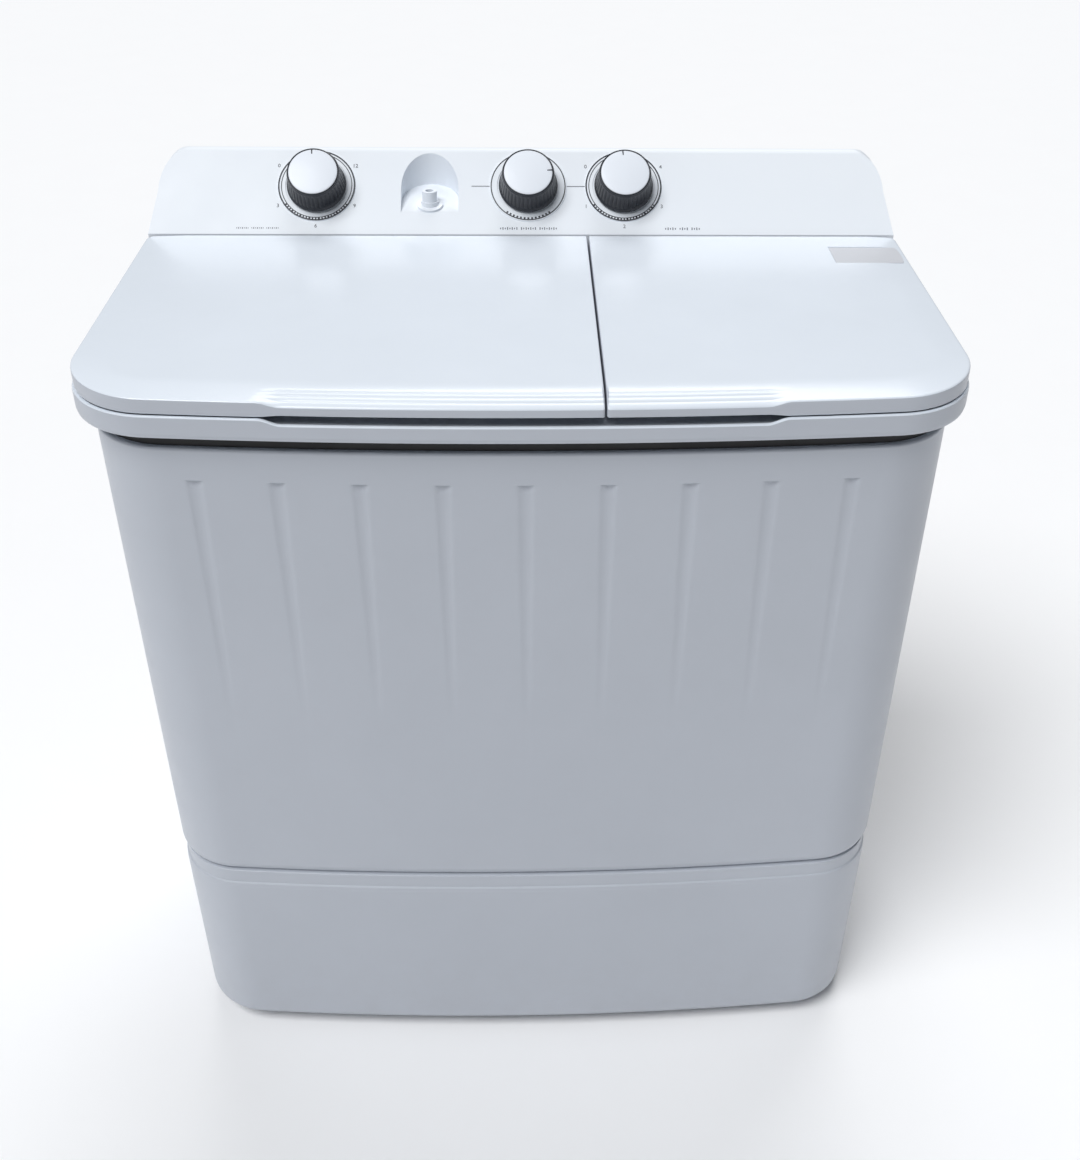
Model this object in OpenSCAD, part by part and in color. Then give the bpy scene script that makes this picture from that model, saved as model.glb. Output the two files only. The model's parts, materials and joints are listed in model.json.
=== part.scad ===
// Twin tub washer: a wash tub with a pulsator on the left and a spin dryer on the right.
// +X is to the right, the front faces -Y, and the feet stand on z = 0. Millimetres.

/* [Overall] */
// Width across the top rim
rim_w = 808; // [800:1:816]
// Depth from the bowed front to the back
body_d = 486; // [480:1:492]
// How far the front bows out at its middle
bow = 20; // [16:1:21]
// Corner radius of the rim at the front
corner_r = 84; // [76:1:88]
// Height of the lids' top face
lid_top = 838; // [836:1:840]
// Wall thickness of the moulded shells
wall = 3; // [2.5:0.5:3.5]

/* [Lids] */
// Where the two lids meet
seam_x = 68.5; // [66:0.5:71]
// Gap between the two lids
seam_gap = 2; // [1:0.5:3]
// Half the width of the finger grip
grip_half = 218; // [150:1:240]
// Distance of the hinge pins behind the middle
hinge_y = 136; // [134:1:137]

/* [Control panel] */
// Slope of the panel's face from level
slope = 42.6; // [41:0.1:44]
// Distance of the knobs' centres up the slope
knob_up = 57; // [55:1:59]
// Radius of a knob at its base
knob_r = 32; // [31:0.5:33]
// Height of a knob
knob_h = 30; // [26:1:31]

/* [Wash side] */
// Radius of the pulsator
pulsator_r = 155; // [140:1:160]
// Groove radius of the large pulley
big_pulley_r = 88; // [80:1:90]
// Groove radius of the motor's pulley
small_pulley_r = 16; // [14:1:18]

/* [Spin side] */
// Outer radius of the spin basket
basket_r = 118; // [110:1:122]
// Outer radius of the tub around the basket
spin_tub_r = 145; // [140:1:146]

/* [Hidden] */
$fn = 48;
e = 0.01;

rim_h = rim_w / 2;
front = -body_d / 2;
back = body_d / 2;
cab_h = rim_h - 13;
base_h = cab_h - 4;
cab_front = front + 12;
cab_back = back - 12;
base_z = 14;
neck_z = 247;
cab_z = 261;
flute_gap = 73.3;
flute_r = 9;
flute_depth = 2.4;
flute_top = 747;
rim_z = 797;
deck_z = 808;
deck_top = deck_z + 3;
rim_top = 818;
plate_z = lid_top - 3;
skirt_z = 819.5;
grip_z = 823;
hinge_z = lid_top - 8;
pin_r = 2.5;
run = 0.05;
panel_y = 154;
panel_in = panel_y + wall;
panel_h = rim_h - 2;
panel_taper = 8;
crest_z = 897;
knob_x = [-224, 4.7, 108.6];
niche_x = -102;
niche_y = 194;
niche_r = 31;
nozzle_y = 186;
floor_tilt = 15;
wash_c = [-156, -26];
tub_z = 395;
tub_half = [212, 186];
motor_c = [-300, -60];
pulley_z = 305;
spin_c = [226, -34];
spin_z = 440;
basket_z = 462;
basket_top = 772;
valve_c = [75, 90];
outlet_c = [-300, 80];
plate_c = [323, 73];
gland_c = [335, 300];
screw_spots = [for (x = [-287, -96, 96, 287]) for (z = [322, 530, 738])
  if (abs(x) > 100 || z != 530) [x, z]];
lid_pins = [[-385, -365, 1], [37.5, 61.5, -1], [75.5, 99.5, 1], [365, 385, -1]];

// Points of an arc about c, from angle a to angle b.
function arc(c, r, a, b, n) =
  [for (i = [0:n]) let (t = a + (b - a) * i / n) c + r * [cos(t), sin(t)]];

// Outline of the body seen from above: bowed front, round corners tangent to the bow.
function outline(h, yf, yb, rf, rb, b) =
  let (big = (h * h + b * b) / (2 * b),
       cy = yf + big - sqrt(pow(big - rf, 2) - pow(h - rf, 2)),
       t = asin((h - rf) / (big - rf)))
  concat(arc([0, yf + big], big, 270 - t, 270 + t, 12),
         arc([h - rf, cy], rf, 270 + t, 360, 10),
         arc([h - rb, yb - rb], rb, 0, 90, 5),
         arc([rb - h, yb - rb], rb, 90, 180, 5),
         arc([rf - h, cy], rf, 180, 270 - t, 10));

module body_slab(h, yf, yb, rf, rb, z, height) {
  translate([0, 0, z]) linear_extrude(height) polygon(outline(h, yf, yb, rf, rb, bow));
}

module round_box(size, r, z, height) {
  translate([-size[0], r - size[1], z]) cube([2 * size[0], 2 * (size[1] - r), height]);
  translate([r - size[0], -size[1], z]) cube([2 * (size[0] - r), 2 * size[1], height]);
  for (x = [-1, 1]) for (y = [-1, 1])
    translate([x * (size[0] - r), y * (size[1] - r), z]) cylinder(r = r, h = height);
}

module tube(r, inner, z, height) {
  difference() {
    translate([0, 0, z]) cylinder(r = r, h = height);
    translate([0, 0, z - 1]) cylinder(r = inner, h = height + 2);
  }
}

// A smooth curve through hand-set points, n steps between neighbours.
function curve(p, n) = concat([for (i = [0:len(p) - 2]) for (k = [0:n - 1])
  let (a = p[max(i - 1, 0)], b = p[i], c = p[i + 1], d = p[min(i + 2, len(p) - 1)], t = k / n)
  0.5 * (2 * b + (c - a) * t + (2 * a - 5 * b + 4 * c - d) * t * t + (3 * b - a - 3 * c + d) * t * t * t)],
  [p[len(p) - 1]]);

function unit(v) = v / norm(v);

// A solid rod of round section swept along a path; side is a direction the path never takes.
module sweep(path, r, side, sides = 10) {
  last = len(path) - 1;
  rings = [for (i = [0:last]) let (t = unit(path[min(i + 1, last)] - path[max(i - 1, 0)]),
    u = unit(cross(t, side)), v = cross(t, u))
    for (k = [0:sides - 1]) path[i] + r * (cos(360 * k / sides) * u + sin(360 * k / sides) * v)];
  quads = [for (i = [0:last - 1]) for (k = [0:sides - 1])
    let (a = i * sides + k, b = i * sides + (k + 1) % sides)
    for (f = [[a, a + sides, b + sides], [a, b + sides, b]]) f];
  polyhedron(rings, concat([[for (k = [0:sides - 1]) k]], quads,
    [[for (k = [sides - 1:-1:0]) last * sides + k]]));
}

// ---- Body shells ----

module base() color([0.69, 0.71, 0.75]) {
  difference() {
    union() {
      body_slab(base_h, cab_front, cab_back + 1, corner_r - 8, 40, base_z, neck_z - base_z);
      body_slab(base_h - 3, cab_front + 3, cab_back - 2, corner_r - 11, 37, neck_z - e,
        cab_z - neck_z + e);
    }
    body_slab(base_h - 3 - wall, cab_front + 3 + wall, cab_back - 2 - wall, corner_r - 14, 34,
      base_z + 4, cab_z);
    translate([outlet_c[0] - 30, cab_back - 12, outlet_c[1] - 30]) cube([60, 20, 60]);
  }
}

module feet() color([0.2, 0.21, 0.23])
  for (x = [-1, 1]) for (y = [-165, 175])
    translate([x * 325, y, 0]) {
      cylinder(r = 20, h = 6);
      cylinder(r = 15, h = base_z);
    }

// Shallow grooves down the front, deepest at the top, that run out into the face.
module flutes()
  for (k = [-4:4])
    let (x = k * flute_gap)
    translate([x, cab_front + bow * pow(x / cab_h, 2) + flute_depth - flute_r, flute_top])
      rotate([-0.52, 0, 0]) translate([0, 0, -300]) cylinder(r = flute_r, h = 300);

module cabinet() color([0.68, 0.7, 0.74])
  difference() {
    body_slab(cab_h, cab_front, cab_back, corner_r - 6, 40, cab_z, deck_z - cab_z);
    body_slab(cab_h - 3.5, cab_front + 3.5, cab_back - 3.5, corner_r - 9.5, 36.5, cab_z - 1, deck_z);
    translate([-280, cab_back - 10, 330]) cube([560, 20, 400]);
    translate([gland_c[0], cab_back - 10, gland_c[1]]) rotate([-90, 0, 0]) cylinder(r = 8, h = 20);
    flutes();
  }

module hinge_bracket(x)
  difference() {
    union() {
      translate([x, hinge_y - 4.6, deck_top - e]) cube([6, 7.1, hinge_z - deck_top + e]);
      translate([x, hinge_y, hinge_z]) rotate([0, 90, 0]) cylinder(r = 4.6, h = 6);
    }
    translate([x - 1, hinge_y, hinge_z]) rotate([0, 90, 0]) cylinder(r = pin_r, h = 8);
  }

function bracket_x(p) = p[2] > 0 ? p[1] - 7 : p[0] + 1;

module top_deck() color([0.7, 0.72, 0.76]) {
  difference() {
    union() {
      difference() {
        body_slab(rim_h, front, back - 3, corner_r, 42, rim_z, rim_top - rim_z);
        body_slab(rim_h - 4, front + 4, back - 7, corner_r - 4, 38, deck_top, 20);
        body_slab(rim_h - 4, front + 4, back - 7, corner_r - 4, 38, rim_z - 1, deck_z - rim_z + 1);
      }
      translate([wash_c[0], -38, 0]) round_box([199, 165], 60, deck_top - e, 5);
      translate([spin_c[0], spin_c[1], deck_top - e]) cylinder(r = 128, h = 4);
    }
    translate([wash_c[0], -38, 0]) round_box([196, 162], 57, deck_z - 1, 20);
    translate([spin_c[0], spin_c[1], deck_z - 1]) cylinder(r = 125, h = 20);
    translate([-grip_half, front - 1, rim_top - 1.5]) cube([2 * grip_half, 20, 5]);
    translate([-335, 168, deck_z - 1]) cube([670, 60, 5]);
    translate([-402.6, 118, deck_top]) cube([805.2, panel_y - 118.5, 10]);
    translate([-410, panel_y - 0.5, deck_top]) cube([820, 100, 10]);
  }
  for (p = lid_pins) hinge_bracket(bracket_x(p));
  for (x = [148, 298]) difference() {
    translate([x, 100, deck_top - e]) cube([6, 10, 9.6]);
    translate([x - 1, 105, 818]) rotate([0, 90, 0]) cylinder(r = 1.5 + run, h = 8);
  }
}

// ---- Control panel ----

// Side view of the panel: foot, sloped face, round crest of radius r, upright back.
function panel_profile(y, drop, r, bottom) =
  concat([[y, bottom], [y, lid_top - drop]], arc([back - 10, crest_z], r, 90 + slope, 0, 8),
    [[back - 10 + r, bottom]]);

// Places children on the sloped face, u up the slope, with +Z along its outward normal.
module on_face(x, up)
  translate([x, panel_y + up * cos(slope), lid_top + up * sin(slope)]) rotate([slope, 0, 0]) children();

module panel_front_view(h, top_h, r, top)
  translate([0, back + 10, 0]) rotate([90, 0, 0]) linear_extrude(body_d) polygon(concat(
    [[-h, 700], [h, 700], [h, lid_top]], arc([top_h - r, top - r], r, 0, 90, 8),
    arc([r - top_h, top - r], r, 90, 180, 8), [[-h, lid_top]]));

module panel_solid(h, y, drop, r, bottom)
  intersection() {
    translate([-410, 0, 0]) rotate([90, 0, 90]) linear_extrude(820)
      polygon(panel_profile(y, drop, r, bottom));
    panel_front_view(h, h - panel_taper, 34, crest_z + r);
    body_slab(h, front, back - 10 + r, corner_r, 30 + r, 700, 300);
  }

module niche(grow, z)
  intersection() {
    union() {
      translate([niche_x, niche_y, 800]) cylinder(r = niche_r + grow, h = 150);
      translate([niche_x - niche_r - grow, niche_y - 60, 800]) cube([2 * (niche_r + grow), 60, 150]);
    }
    translate([niche_x - 50, 172, z]) rotate([floor_tilt, 0, 0])
      translate([0, -80, 0]) cube([100, 180, 120]);
  }

module control_panel() color([0.9, 0.93, 0.96])
  difference() {
    union() {
      difference() {
        panel_solid(panel_h, panel_y, 0, 10, deck_top);
        panel_solid(panel_h - wall, panel_in, 1, 7, deck_top - 5);
      }
      intersection() {
        niche(3, 852);
        panel_solid(panel_h - 1.5, panel_y + 1.5, 0.5, 8.5, deck_top);
      }
    }
    niche(0, 855);
    for (x = knob_x) on_face(x, knob_up) translate([0, 0, -8]) cylinder(r = 5, h = 16);
    translate([niche_x, nozzle_y, 845]) cylinder(r = 6, h = 30);
    translate([-346.3, back - 8, deck_top - 1]) cube([692.6, 16, 84.3]);
  }

module panel_rear_cover() color([0.72, 0.74, 0.77])
  difference() {
    translate([-346, back - 3, deck_top]) cube([692, 3, 83]);
    for (k = [-5:5]) translate([k * 22 - 3 + 160, back - 5, 830]) cube([6, 10, 30]);
  }

module on_niche_floor()
  translate([niche_x, nozzle_y, 855 + (nozzle_y - 172) * tan(floor_tilt)]) rotate([floor_tilt, 0, 0])
    children();

module inlet_nozzle() color([0.82, 0.84, 0.87])
  difference() {
    union() {
      on_niche_floor() cylinder(r = 14, h = 2.5);
      difference() {
        translate([niche_x, nozzle_y, 850]) cylinder(r = 9.5, h = 14);
        on_niche_floor() translate([-20, -20, -30]) cube([40, 40, 30]);
      }
      translate([niche_x, nozzle_y, 863]) cylinder(r = 8, h = 12);
      translate([niche_x, nozzle_y, 845]) cylinder(r = 5.9, h = 16);
    }
    translate([niche_x, nozzle_y, 840]) cylinder(r = 4.5, h = 40);
  }

module inlet_channel() color([0.85, 0.87, 0.9])
  difference() {
    union() {
      translate([niche_x - 26, 168, 772]) cube([52, 36, 72]);
      translate([niche_x - 26, 148, 772]) cube([52, 21, 26]);
    }
    translate([niche_x - 24, 170, 774]) cube([48, 32, 71]);
    translate([niche_x - 24, 147, 774]) cube([48, 24, 22]);
  }

// One dial mechanism hung behind the face.
module mechanism(x, r, depth)
  on_face(x, knob_up) difference() {
    union() {
      translate([0, 0, -depth]) cylinder(r = r, h = depth - 6);
      translate([-r - 4, -8, -6.5]) cube([2 * r + 8, 16, 3.5]);
    }
    translate([0, 0, -depth + 4]) cylinder(r = 3 + run, h = depth);
  }

module wash_timer() color([0.88, 0.86, 0.8]) mechanism(knob_x[0], 22, 40);
module selector_switch() color([0.3, 0.32, 0.35]) mechanism(knob_x[1], 19, 30);
module spin_timer() color([0.88, 0.86, 0.8]) mechanism(knob_x[2], 22, 38);

module dial_rings() color([0.93, 0.95, 0.98])
  for (x = knob_x) on_face(x, knob_up) tube(42, 33.5, 0, 1);

// A knob with its D-shaft stub, turned from one piece with a hub.
module knob(x, depth)
  on_face(x, knob_up) union() {
    rotate_extrude() polygon([[0, 6], [7, 6], [7, knob_h - 5], [24, knob_h - 5], [28.5, 2],
      [knob_r, 2], [27.6, knob_h - 2], [0, knob_h - 2]]);
    translate([0, 0, 5 - depth]) cylinder(r = 3, h = depth + 2);
  }

module cap(x, turn)
  on_face(x, knob_up) rotate([0, 0, turn]) union() {
    rotate_extrude() polygon([[0, knob_h - 2], [26.6, knob_h - 2], [26.6, knob_h], [24, knob_h + 1],
      [0, knob_h + 1.5]]);
    translate([-0.8, 19, knob_h]) cube([1.6, 6, 1.6]);
  }

module wash_timer_knob() color([0.16, 0.17, 0.2]) knob(knob_x[0], 40);
module wash_timer_cap() color([0.93, 0.95, 0.98]) cap(knob_x[0], 0);
module selector_knob() color([0.16, 0.17, 0.2]) knob(knob_x[1], 30);
module selector_cap() color([0.93, 0.95, 0.98]) cap(knob_x[1], -90);
module spin_timer_knob() color([0.16, 0.17, 0.2]) knob(knob_x[2], 38);
module spin_timer_cap() color([0.93, 0.95, 0.98]) cap(knob_x[2], 0);

// ---- Back ----

module rear_service_cover() color([0.62, 0.64, 0.67])
  difference() {
    translate([-295, cab_back, 315]) cube([590, 3, 430]);
    for (x = [-1, 1]) for (k = [0:7])
      translate([x * 170 - 60, cab_back - 1, 400 + k * 14]) cube([120, 5, 5]);
    for (p = screw_spots)
      translate([p[0], cab_back - 1, p[1]]) rotate([-90, 0, 0]) cylinder(r = 1.8, h = 5);
  }

module screw(x, y, z)
  translate([x, y, z]) rotate([-90, 0, 0]) {
    cylinder(r = 4.5, h = 2.4);
    translate([0, 0, -3]) cylinder(r = 1.6, h = 3.1);
  }

module service_screws() color([0.75, 0.76, 0.78])
  for (p = screw_spots) screw(p[0], cab_back + 3, p[1]);

module cord_gland() color([0.12, 0.12, 0.13])
  translate([gland_c[0], cab_back, gland_c[1]]) rotate([-90, 0, 0]) difference() {
    union() {
      cylinder(r = 13, h = 3);
      cylinder(r = 8.5, h = 11);
      translate([0, 0, -10]) cylinder(r = 7.9, h = 11);
    }
    translate([0, 0, -11]) cylinder(r = 3.6, h = 25);
    translate([0, 0, -11]) cylinder(r = 5.2, h = 12);
  }

module drain_outlet() color([0.3, 0.31, 0.33])
  translate([outlet_c[0], 0, outlet_c[1]]) {
    difference() {
      translate([-29.5, cab_back - 40, -29.5]) cube([59, 41, 59]);
      translate([-26.5, cab_back - 37, -26.5]) cube([53, 40, 53]);
      translate([0, cab_back - 45, 0]) rotate([-90, 0, 0]) cylinder(r = 9.5, h = 12);
    }
    translate([0, cab_back - 52, 0]) rotate([-90, 0, 0]) tube(12, 9.5, 0, 60);
  }

// ---- Tubs ----

module wash_tub() color([0.86, 0.88, 0.9])
  difference() {
    translate([wash_c[0], wash_c[1], 0]) union() {
      round_box(tub_half, 90, tub_z, deck_z - tub_z);
      round_box(tub_half + [6, 3], 93, deck_z - 4, 4);
    }
    translate([wash_c[0], wash_c[1], 0]) round_box(tub_half - [wall, wall], 87, tub_z + 4, 500);
    translate([wash_c[0], wash_c[1], tub_z - 1]) cylinder(r = 16, h = 10);
    translate([25, 60, tub_z - 1]) cylinder(r = 14, h = 10);
    translate([niche_x - 26.3, 150, 771.7]) cube([52.6, 20, 26.6]);
  }

module overflow_cover() color([0.82, 0.85, 0.88])
  difference() {
    translate([38, -60, tub_z + 4]) cube([15, 90, 380]);
    translate([41, -57, tub_z + 3]) cube([20, 84, 378]);
    for (k = [0:13]) translate([36, -50, tub_z + 30 + k * 12]) cube([10, 70, 5]);
  }

module lint_filter() color([0.45, 0.6, 0.75])
  difference() {
    translate([-365, -76, 600]) cube([16, 100, 130]);
    translate([-361, -70, 606]) cube([10, 88, 140]);
    for (k = [0:5]) translate([-355, -66 + k * 14, 615]) cube([10, 9, 100]);
  }

module spin_outer_tub() color([0.86, 0.88, 0.9])
  translate([spin_c[0], spin_c[1], 0]) difference() {
    union() {
      translate([0, 0, spin_z]) cylinder(r = spin_tub_r, h = deck_z - spin_z);
      translate([0, 0, deck_z - 4]) cylinder(r = spin_tub_r + 5, h = 4);
    }
    translate([0, 0, spin_z + 4]) cylinder(r = spin_tub_r - wall, h = 400);
    translate([0, 0, spin_z - 1]) cylinder(r = 42, h = 10);
    translate([-100, 70, spin_z - 1]) cylinder(r = 10, h = 10);
  }

// ---- Wash drive ----

module pulsator() color([0.75, 0.8, 0.87])
  translate([wash_c[0], wash_c[1], 0]) {
    difference() {
      union() {
        rotate_extrude() polygon([[0, 404], [pulsator_r, 404], [pulsator_r, 412], [pulsator_r - 12, 414],
          [40, 424], [30, 438], [0, 440]]);
        for (k = [0:4]) rotate([0, 0, 72 * k]) translate([24, -7, 408]) cube([104, 14, 22]);
      }
      translate([0, 0, 400]) cylinder(r = 7, h = 30);
      translate([0, 0, 420]) cylinder(r = 5, h = 30);
    }
  }

module pulsator_screw() color([0.8, 0.81, 0.83])
  translate([wash_c[0], wash_c[1], 0]) {
    translate([0, 0, 430]) cylinder(r = 4.9, h = 12);
    translate([0, 0, 440.2]) cylinder(r = 10, h = 4);
  }

module wash_shaft() color([0.75, 0.76, 0.78])
  translate([wash_c[0], wash_c[1], pulley_z - 5]) cylinder(r = 7, h = 430 - pulley_z + 5);

module wash_shaft_seal() color([0.15, 0.15, 0.16])
  translate([wash_c[0], wash_c[1], 0]) tube(15.9, 7 + run, tub_z, 7);

module wash_bearing_housing() color([0.6, 0.62, 0.64])
  translate([wash_c[0], wash_c[1], 0]) difference() {
    union() {
      translate([0, 0, 336]) cylinder(r = 26, h = tub_z - 336);
      translate([0, 0, tub_z - 5]) cylinder(r = 60, h = 5);
    }
    translate([0, 0, 330]) cylinder(r = 7 + run, h = 80);
  }

module grooved_pulley(groove, bore)
  rotate_extrude() polygon([[bore, pulley_z], [groove + 7, pulley_z], [groove + 7, pulley_z + 3],
    [groove, pulley_z + 5], [groove, pulley_z + 15], [groove + 7, pulley_z + 17],
    [groove + 7, pulley_z + 20], [bore, pulley_z + 20]]);

module wash_pulley() color([0.35, 0.36, 0.38])
  translate([wash_c[0], wash_c[1], 0]) difference() {
    grooved_pulley(big_pulley_r, 7);
    for (k = [0:5]) rotate([0, 0, 60 * k]) translate([50, 0, pulley_z - 1]) cylinder(r = 18, h = 30);
  }

module wash_motor_pulley() color([0.35, 0.36, 0.38])
  translate([motor_c[0], motor_c[1], 0]) grooved_pulley(small_pulley_r, 6);

module wash_motor_shaft() color([0.75, 0.76, 0.78])
  translate([motor_c[0], motor_c[1], 160]) cylinder(r = 6, h = 172);

// The loop round two pulleys, at a distance off each groove's floor.
function belt_loop(off) =
  let (d = motor_c - wash_c, gap = norm(d), way = atan2(d[1], d[0]),
       lean = acos((big_pulley_r - small_pulley_r) / gap))
  concat(arc(wash_c, big_pulley_r + off, way + lean, way + 360 - lean, 44),
         arc(motor_c, small_pulley_r + off, way - lean, way + lean, 22));

module drive_belt() color([0.1, 0.1, 0.11])
  translate([0, 0, pulley_z + 6]) linear_extrude(8) difference() {
    polygon(belt_loop(6));
    polygon(belt_loop(0.5));
  }

module motor_can(bore, r, z, height)
  difference() {
    union() {
      translate([0, 0, z]) cylinder(r = 34, h = height);
      translate([0, 0, z + 10]) cylinder(r = r - 8, h = height - 16);
      translate([0, 0, z + 28]) cylinder(r = r, h = height - 56);
    }
    translate([0, 0, z - 1]) cylinder(r = bore, h = height + 2);
  }

module wash_motor() color([0.5, 0.52, 0.55])
  translate([motor_c[0], motor_c[1], 0]) motor_can(6 + run, 62, 170, 122);

module wash_motor_bracket() color([0.55, 0.57, 0.6])
  difference() {
    union() {
      translate([-366, -142, 292]) cube([146, 162, 4]);
      translate([-366, -120, 292]) cube([4, 140, tub_z - 292]);
      translate([-350, -142, 292]) cube([92, 4, tub_z - 292]);
    }
    translate([motor_c[0], motor_c[1], 290]) cylinder(r = 36, h = 10);
  }

// ---- Spin drive ----

module spin_basket() color([0.78, 0.8, 0.83])
  translate([spin_c[0], spin_c[1], 0]) difference() {
    rotate_extrude() polygon([[8, basket_z - 8], [26, basket_z - 8], [30, basket_z],
      [basket_r - 8, basket_z], [basket_r, basket_z + 8], [basket_r, basket_top],
      [basket_r + 3, basket_top + 3], [basket_r - 2, basket_top + 10], [90, basket_top + 10],
      [88, basket_top + 6], [basket_r - 2, basket_top - 6], [basket_r - 2, basket_z + 9],
      [basket_r - 9, basket_z + 3], [30, basket_z + 3], [20, basket_z + 24], [8, basket_z + 24]]);
    for (row = [0:3]) for (k = [0:5]) rotate([0, 0, 30 * k + 15 * (row % 2) + 7])
      translate([0, 0, basket_z + 50 + 60 * row]) rotate([0, 90, 0])
        translate([0, 0, -basket_r - 5]) cylinder(r = 3, h = 2 * basket_r + 10, $fn = 8);
  }

module spin_shaft() color([0.75, 0.76, 0.78])
  translate([spin_c[0], spin_c[1], 0]) {
    translate([0, 0, 246]) cylinder(r = 7, h = 150);
    translate([0, 0, 385]) cylinder(r = 8, h = 110);
    translate([0, 0, basket_z + 24.2]) cylinder(r = 14, h = 8, $fn = 6);
  }

module brake_drum() color([0.45, 0.46, 0.48])
  translate([spin_c[0], spin_c[1], 0]) difference() {
    union() {
      translate([0, 0, 370]) cylinder(r = 18, h = 25);
      translate([0, 0, 374]) cylinder(r = 48, h = 14);
    }
    translate([0, 0, 365]) cylinder(r = 7, h = 40);
    translate([0, 0, 385]) cylinder(r = 8, h = 20);
    translate([0, 0, 373]) tube(43, 20, 0, 10);
  }

module spin_bellows() color([0.14, 0.14, 0.15])
  translate([spin_c[0], spin_c[1], 0]) rotate_extrude() polygon([[8 + run, 400], [14, 400],
    [16, 410], [34, 412], [30, 420], [40, 428], [37, 434], [41.5, spin_z], [41.5, spin_z + 4],
    [50, spin_z + 4.2], [50, spin_z + 7], [38, spin_z + 7], [38, 437], [33, 431], [37, 428],
    [26, 419], [28, 415], [8 + run, 414]]);

module spin_motor() color([0.5, 0.52, 0.55])
  translate([spin_c[0], spin_c[1], 0]) {
    motor_can(7 + run, 62, 256, 104);
    difference() {
      translate([0, 0, 256]) cylinder(r = 78, h = 4);
      translate([0, 0, 250]) cylinder(r = 30, h = 20);
    }
  }

module at_springs()
  for (k = [0:2]) translate([spin_c[0], spin_c[1], 0]) rotate([0, 0, 120 * k + 30])
    translate([66, 0, 0]) children();

module spin_motor_springs() color([0.6, 0.61, 0.63])
  at_springs() sweep([for (i = [0:60]) [12 * cos(30 * i), 12 * sin(30 * i), 162.2 + 81.4 * i / 60]],
    1.8, [0, 0, 1], 6);

module spin_motor_pads() color([0.13, 0.13, 0.14])
  at_springs() for (z = [150, 246]) translate([0, 0, z]) cylinder(r = 17, h = 10);

module spin_motor_stand() color([0.55, 0.57, 0.6]) {
  translate([spin_c[0], spin_c[1], 0]) tube(90, 40, 146, 4);
  at_springs() translate([12, -12, base_z + 4]) cube([4, 24, 128.5]);
}

module brake_plate() color([0.62, 0.63, 0.65]) {
  difference() {
    translate([spin_c[0], spin_c[1], 360]) cylinder(r = 60, h = 3);
    translate([spin_c[0], spin_c[1], 350]) cylinder(r = 22, h = 20);
  }
  translate([spin_c[0] + 35, spin_c[1] - 45, 360]) cube([45, 30, 3]);
  translate([spin_c[0] + 66, spin_c[1] - 30, 362]) cylinder(r = 4, h = 24);
}

module brake_lever() color([0.7, 0.68, 0.55])
  translate([spin_c[0] + 66, spin_c[1] - 30, 0]) difference() {
    union() {
      translate([0, 0, 374]) cylinder(r = 10, h = 8);
      translate([-5, 0, 374]) cube([10, 118, 8]);
      translate([-16.3, 22, 375]) cube([14, 16, 12]);
    }
    translate([0, 0, 370]) cylinder(r = 4 + run, h = 20);
    translate([spin_c[0], spin_c[1], 0] - [spin_c[0] + 66, spin_c[1] - 30, 0])
      translate([0, 0, 370]) cylinder(r = 50, h = 20);
  }

module brake_cable() color([0.12, 0.12, 0.13])
  sweep(curve([[292, 60, 378], [296, 84, 384], [306, 114, 410], [332, 138, 500], [350, 155, 640],
    [352, 170, 750], [334, 178, 800]], 4), 3, [1, 0, 0], 8);

// ---- Drain ----

module drain_valve_box() color([0.8, 0.82, 0.84])
  difference() {
    union() {
      translate([-10, 30, 309]) cube([112, 84, 85]);
      translate([25, 60, 380]) cylinder(r = 13.8, h = 16);
    }
    translate([-7, 33, 312]) cube([106, 78, 22]);
    translate([-7, 33, 337]) cube([106, 78, 54]);
    translate([25, 60, 370]) cylinder(r = 11, h = 30);
    translate([valve_c[0], valve_c[1], 380]) cylinder(r = 4 + run, h = 20);
    translate([valve_c[0], valve_c[1], 330]) cylinder(r = 9, h = 10);
    translate([10, 72, 305]) cylinder(r = 10, h = 12);
    translate([95, 70, 323]) rotate([0, 90, 0]) cylinder(r = 7.5, h = 12);
  }

module valve_plunger() color([0.55, 0.3, 0.25])
  translate([valve_c[0], valve_c[1], 0]) {
    translate([0, 0, 337.1]) cylinder(r = 13, h = 7);
    translate([0, 0, 340]) cylinder(r = 4, h = 74);
    translate([0, 0, 400]) cylinder(r = 1, h = 60);
  }

module drain_pull_cable() color([0.12, 0.12, 0.13]) {
  translate([valve_c[0], valve_c[1], 0]) tube(2.6, 1 + run, 440, 60);
  sweep(curve([[75, 90, 500], [75, 100, 560], [75, 145, 660], [72, 185, 760], [52, 200, 800],
    [31, 212, 832]], 4), 2.6, [1, 0, 0], 8);
}

module drain_hose() color([0.25, 0.26, 0.28])
  sweep(curve([[10, 72, 308.4], [10, 72, 300], [10, 72, 288], [8, 90, 200], [-20, 128, 115],
    [-110, 140, 82], [-220, 120, 80], [-280, 130, 80], [-300, 152, 80], [-300, 166, 80],
    [-300, 178.6, 80]], 3), 11, [0.2, 0.3, 1], 12);

module spin_drain_hose() color([0.25, 0.26, 0.28])
  sweep(curve([[126, 36, 439.6], [126, 36, 420], [132, 50, 370], [130, 66, 328], [120, 70, 323],
    [111, 70, 323], [102.6, 70, 323]], 3), 8.5, [1, 0.2, 0.3], 12);

// ---- Electrics ----

module motor_capacitors() color([0.8, 0.8, 0.78])
  for (x = [60, 115]) translate([x, 185, base_z + 4]) {
    cylinder(r = 20, h = 75);
    translate([0, 0, 74]) cylinder(r = 6, h = 8);
  }

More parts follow.
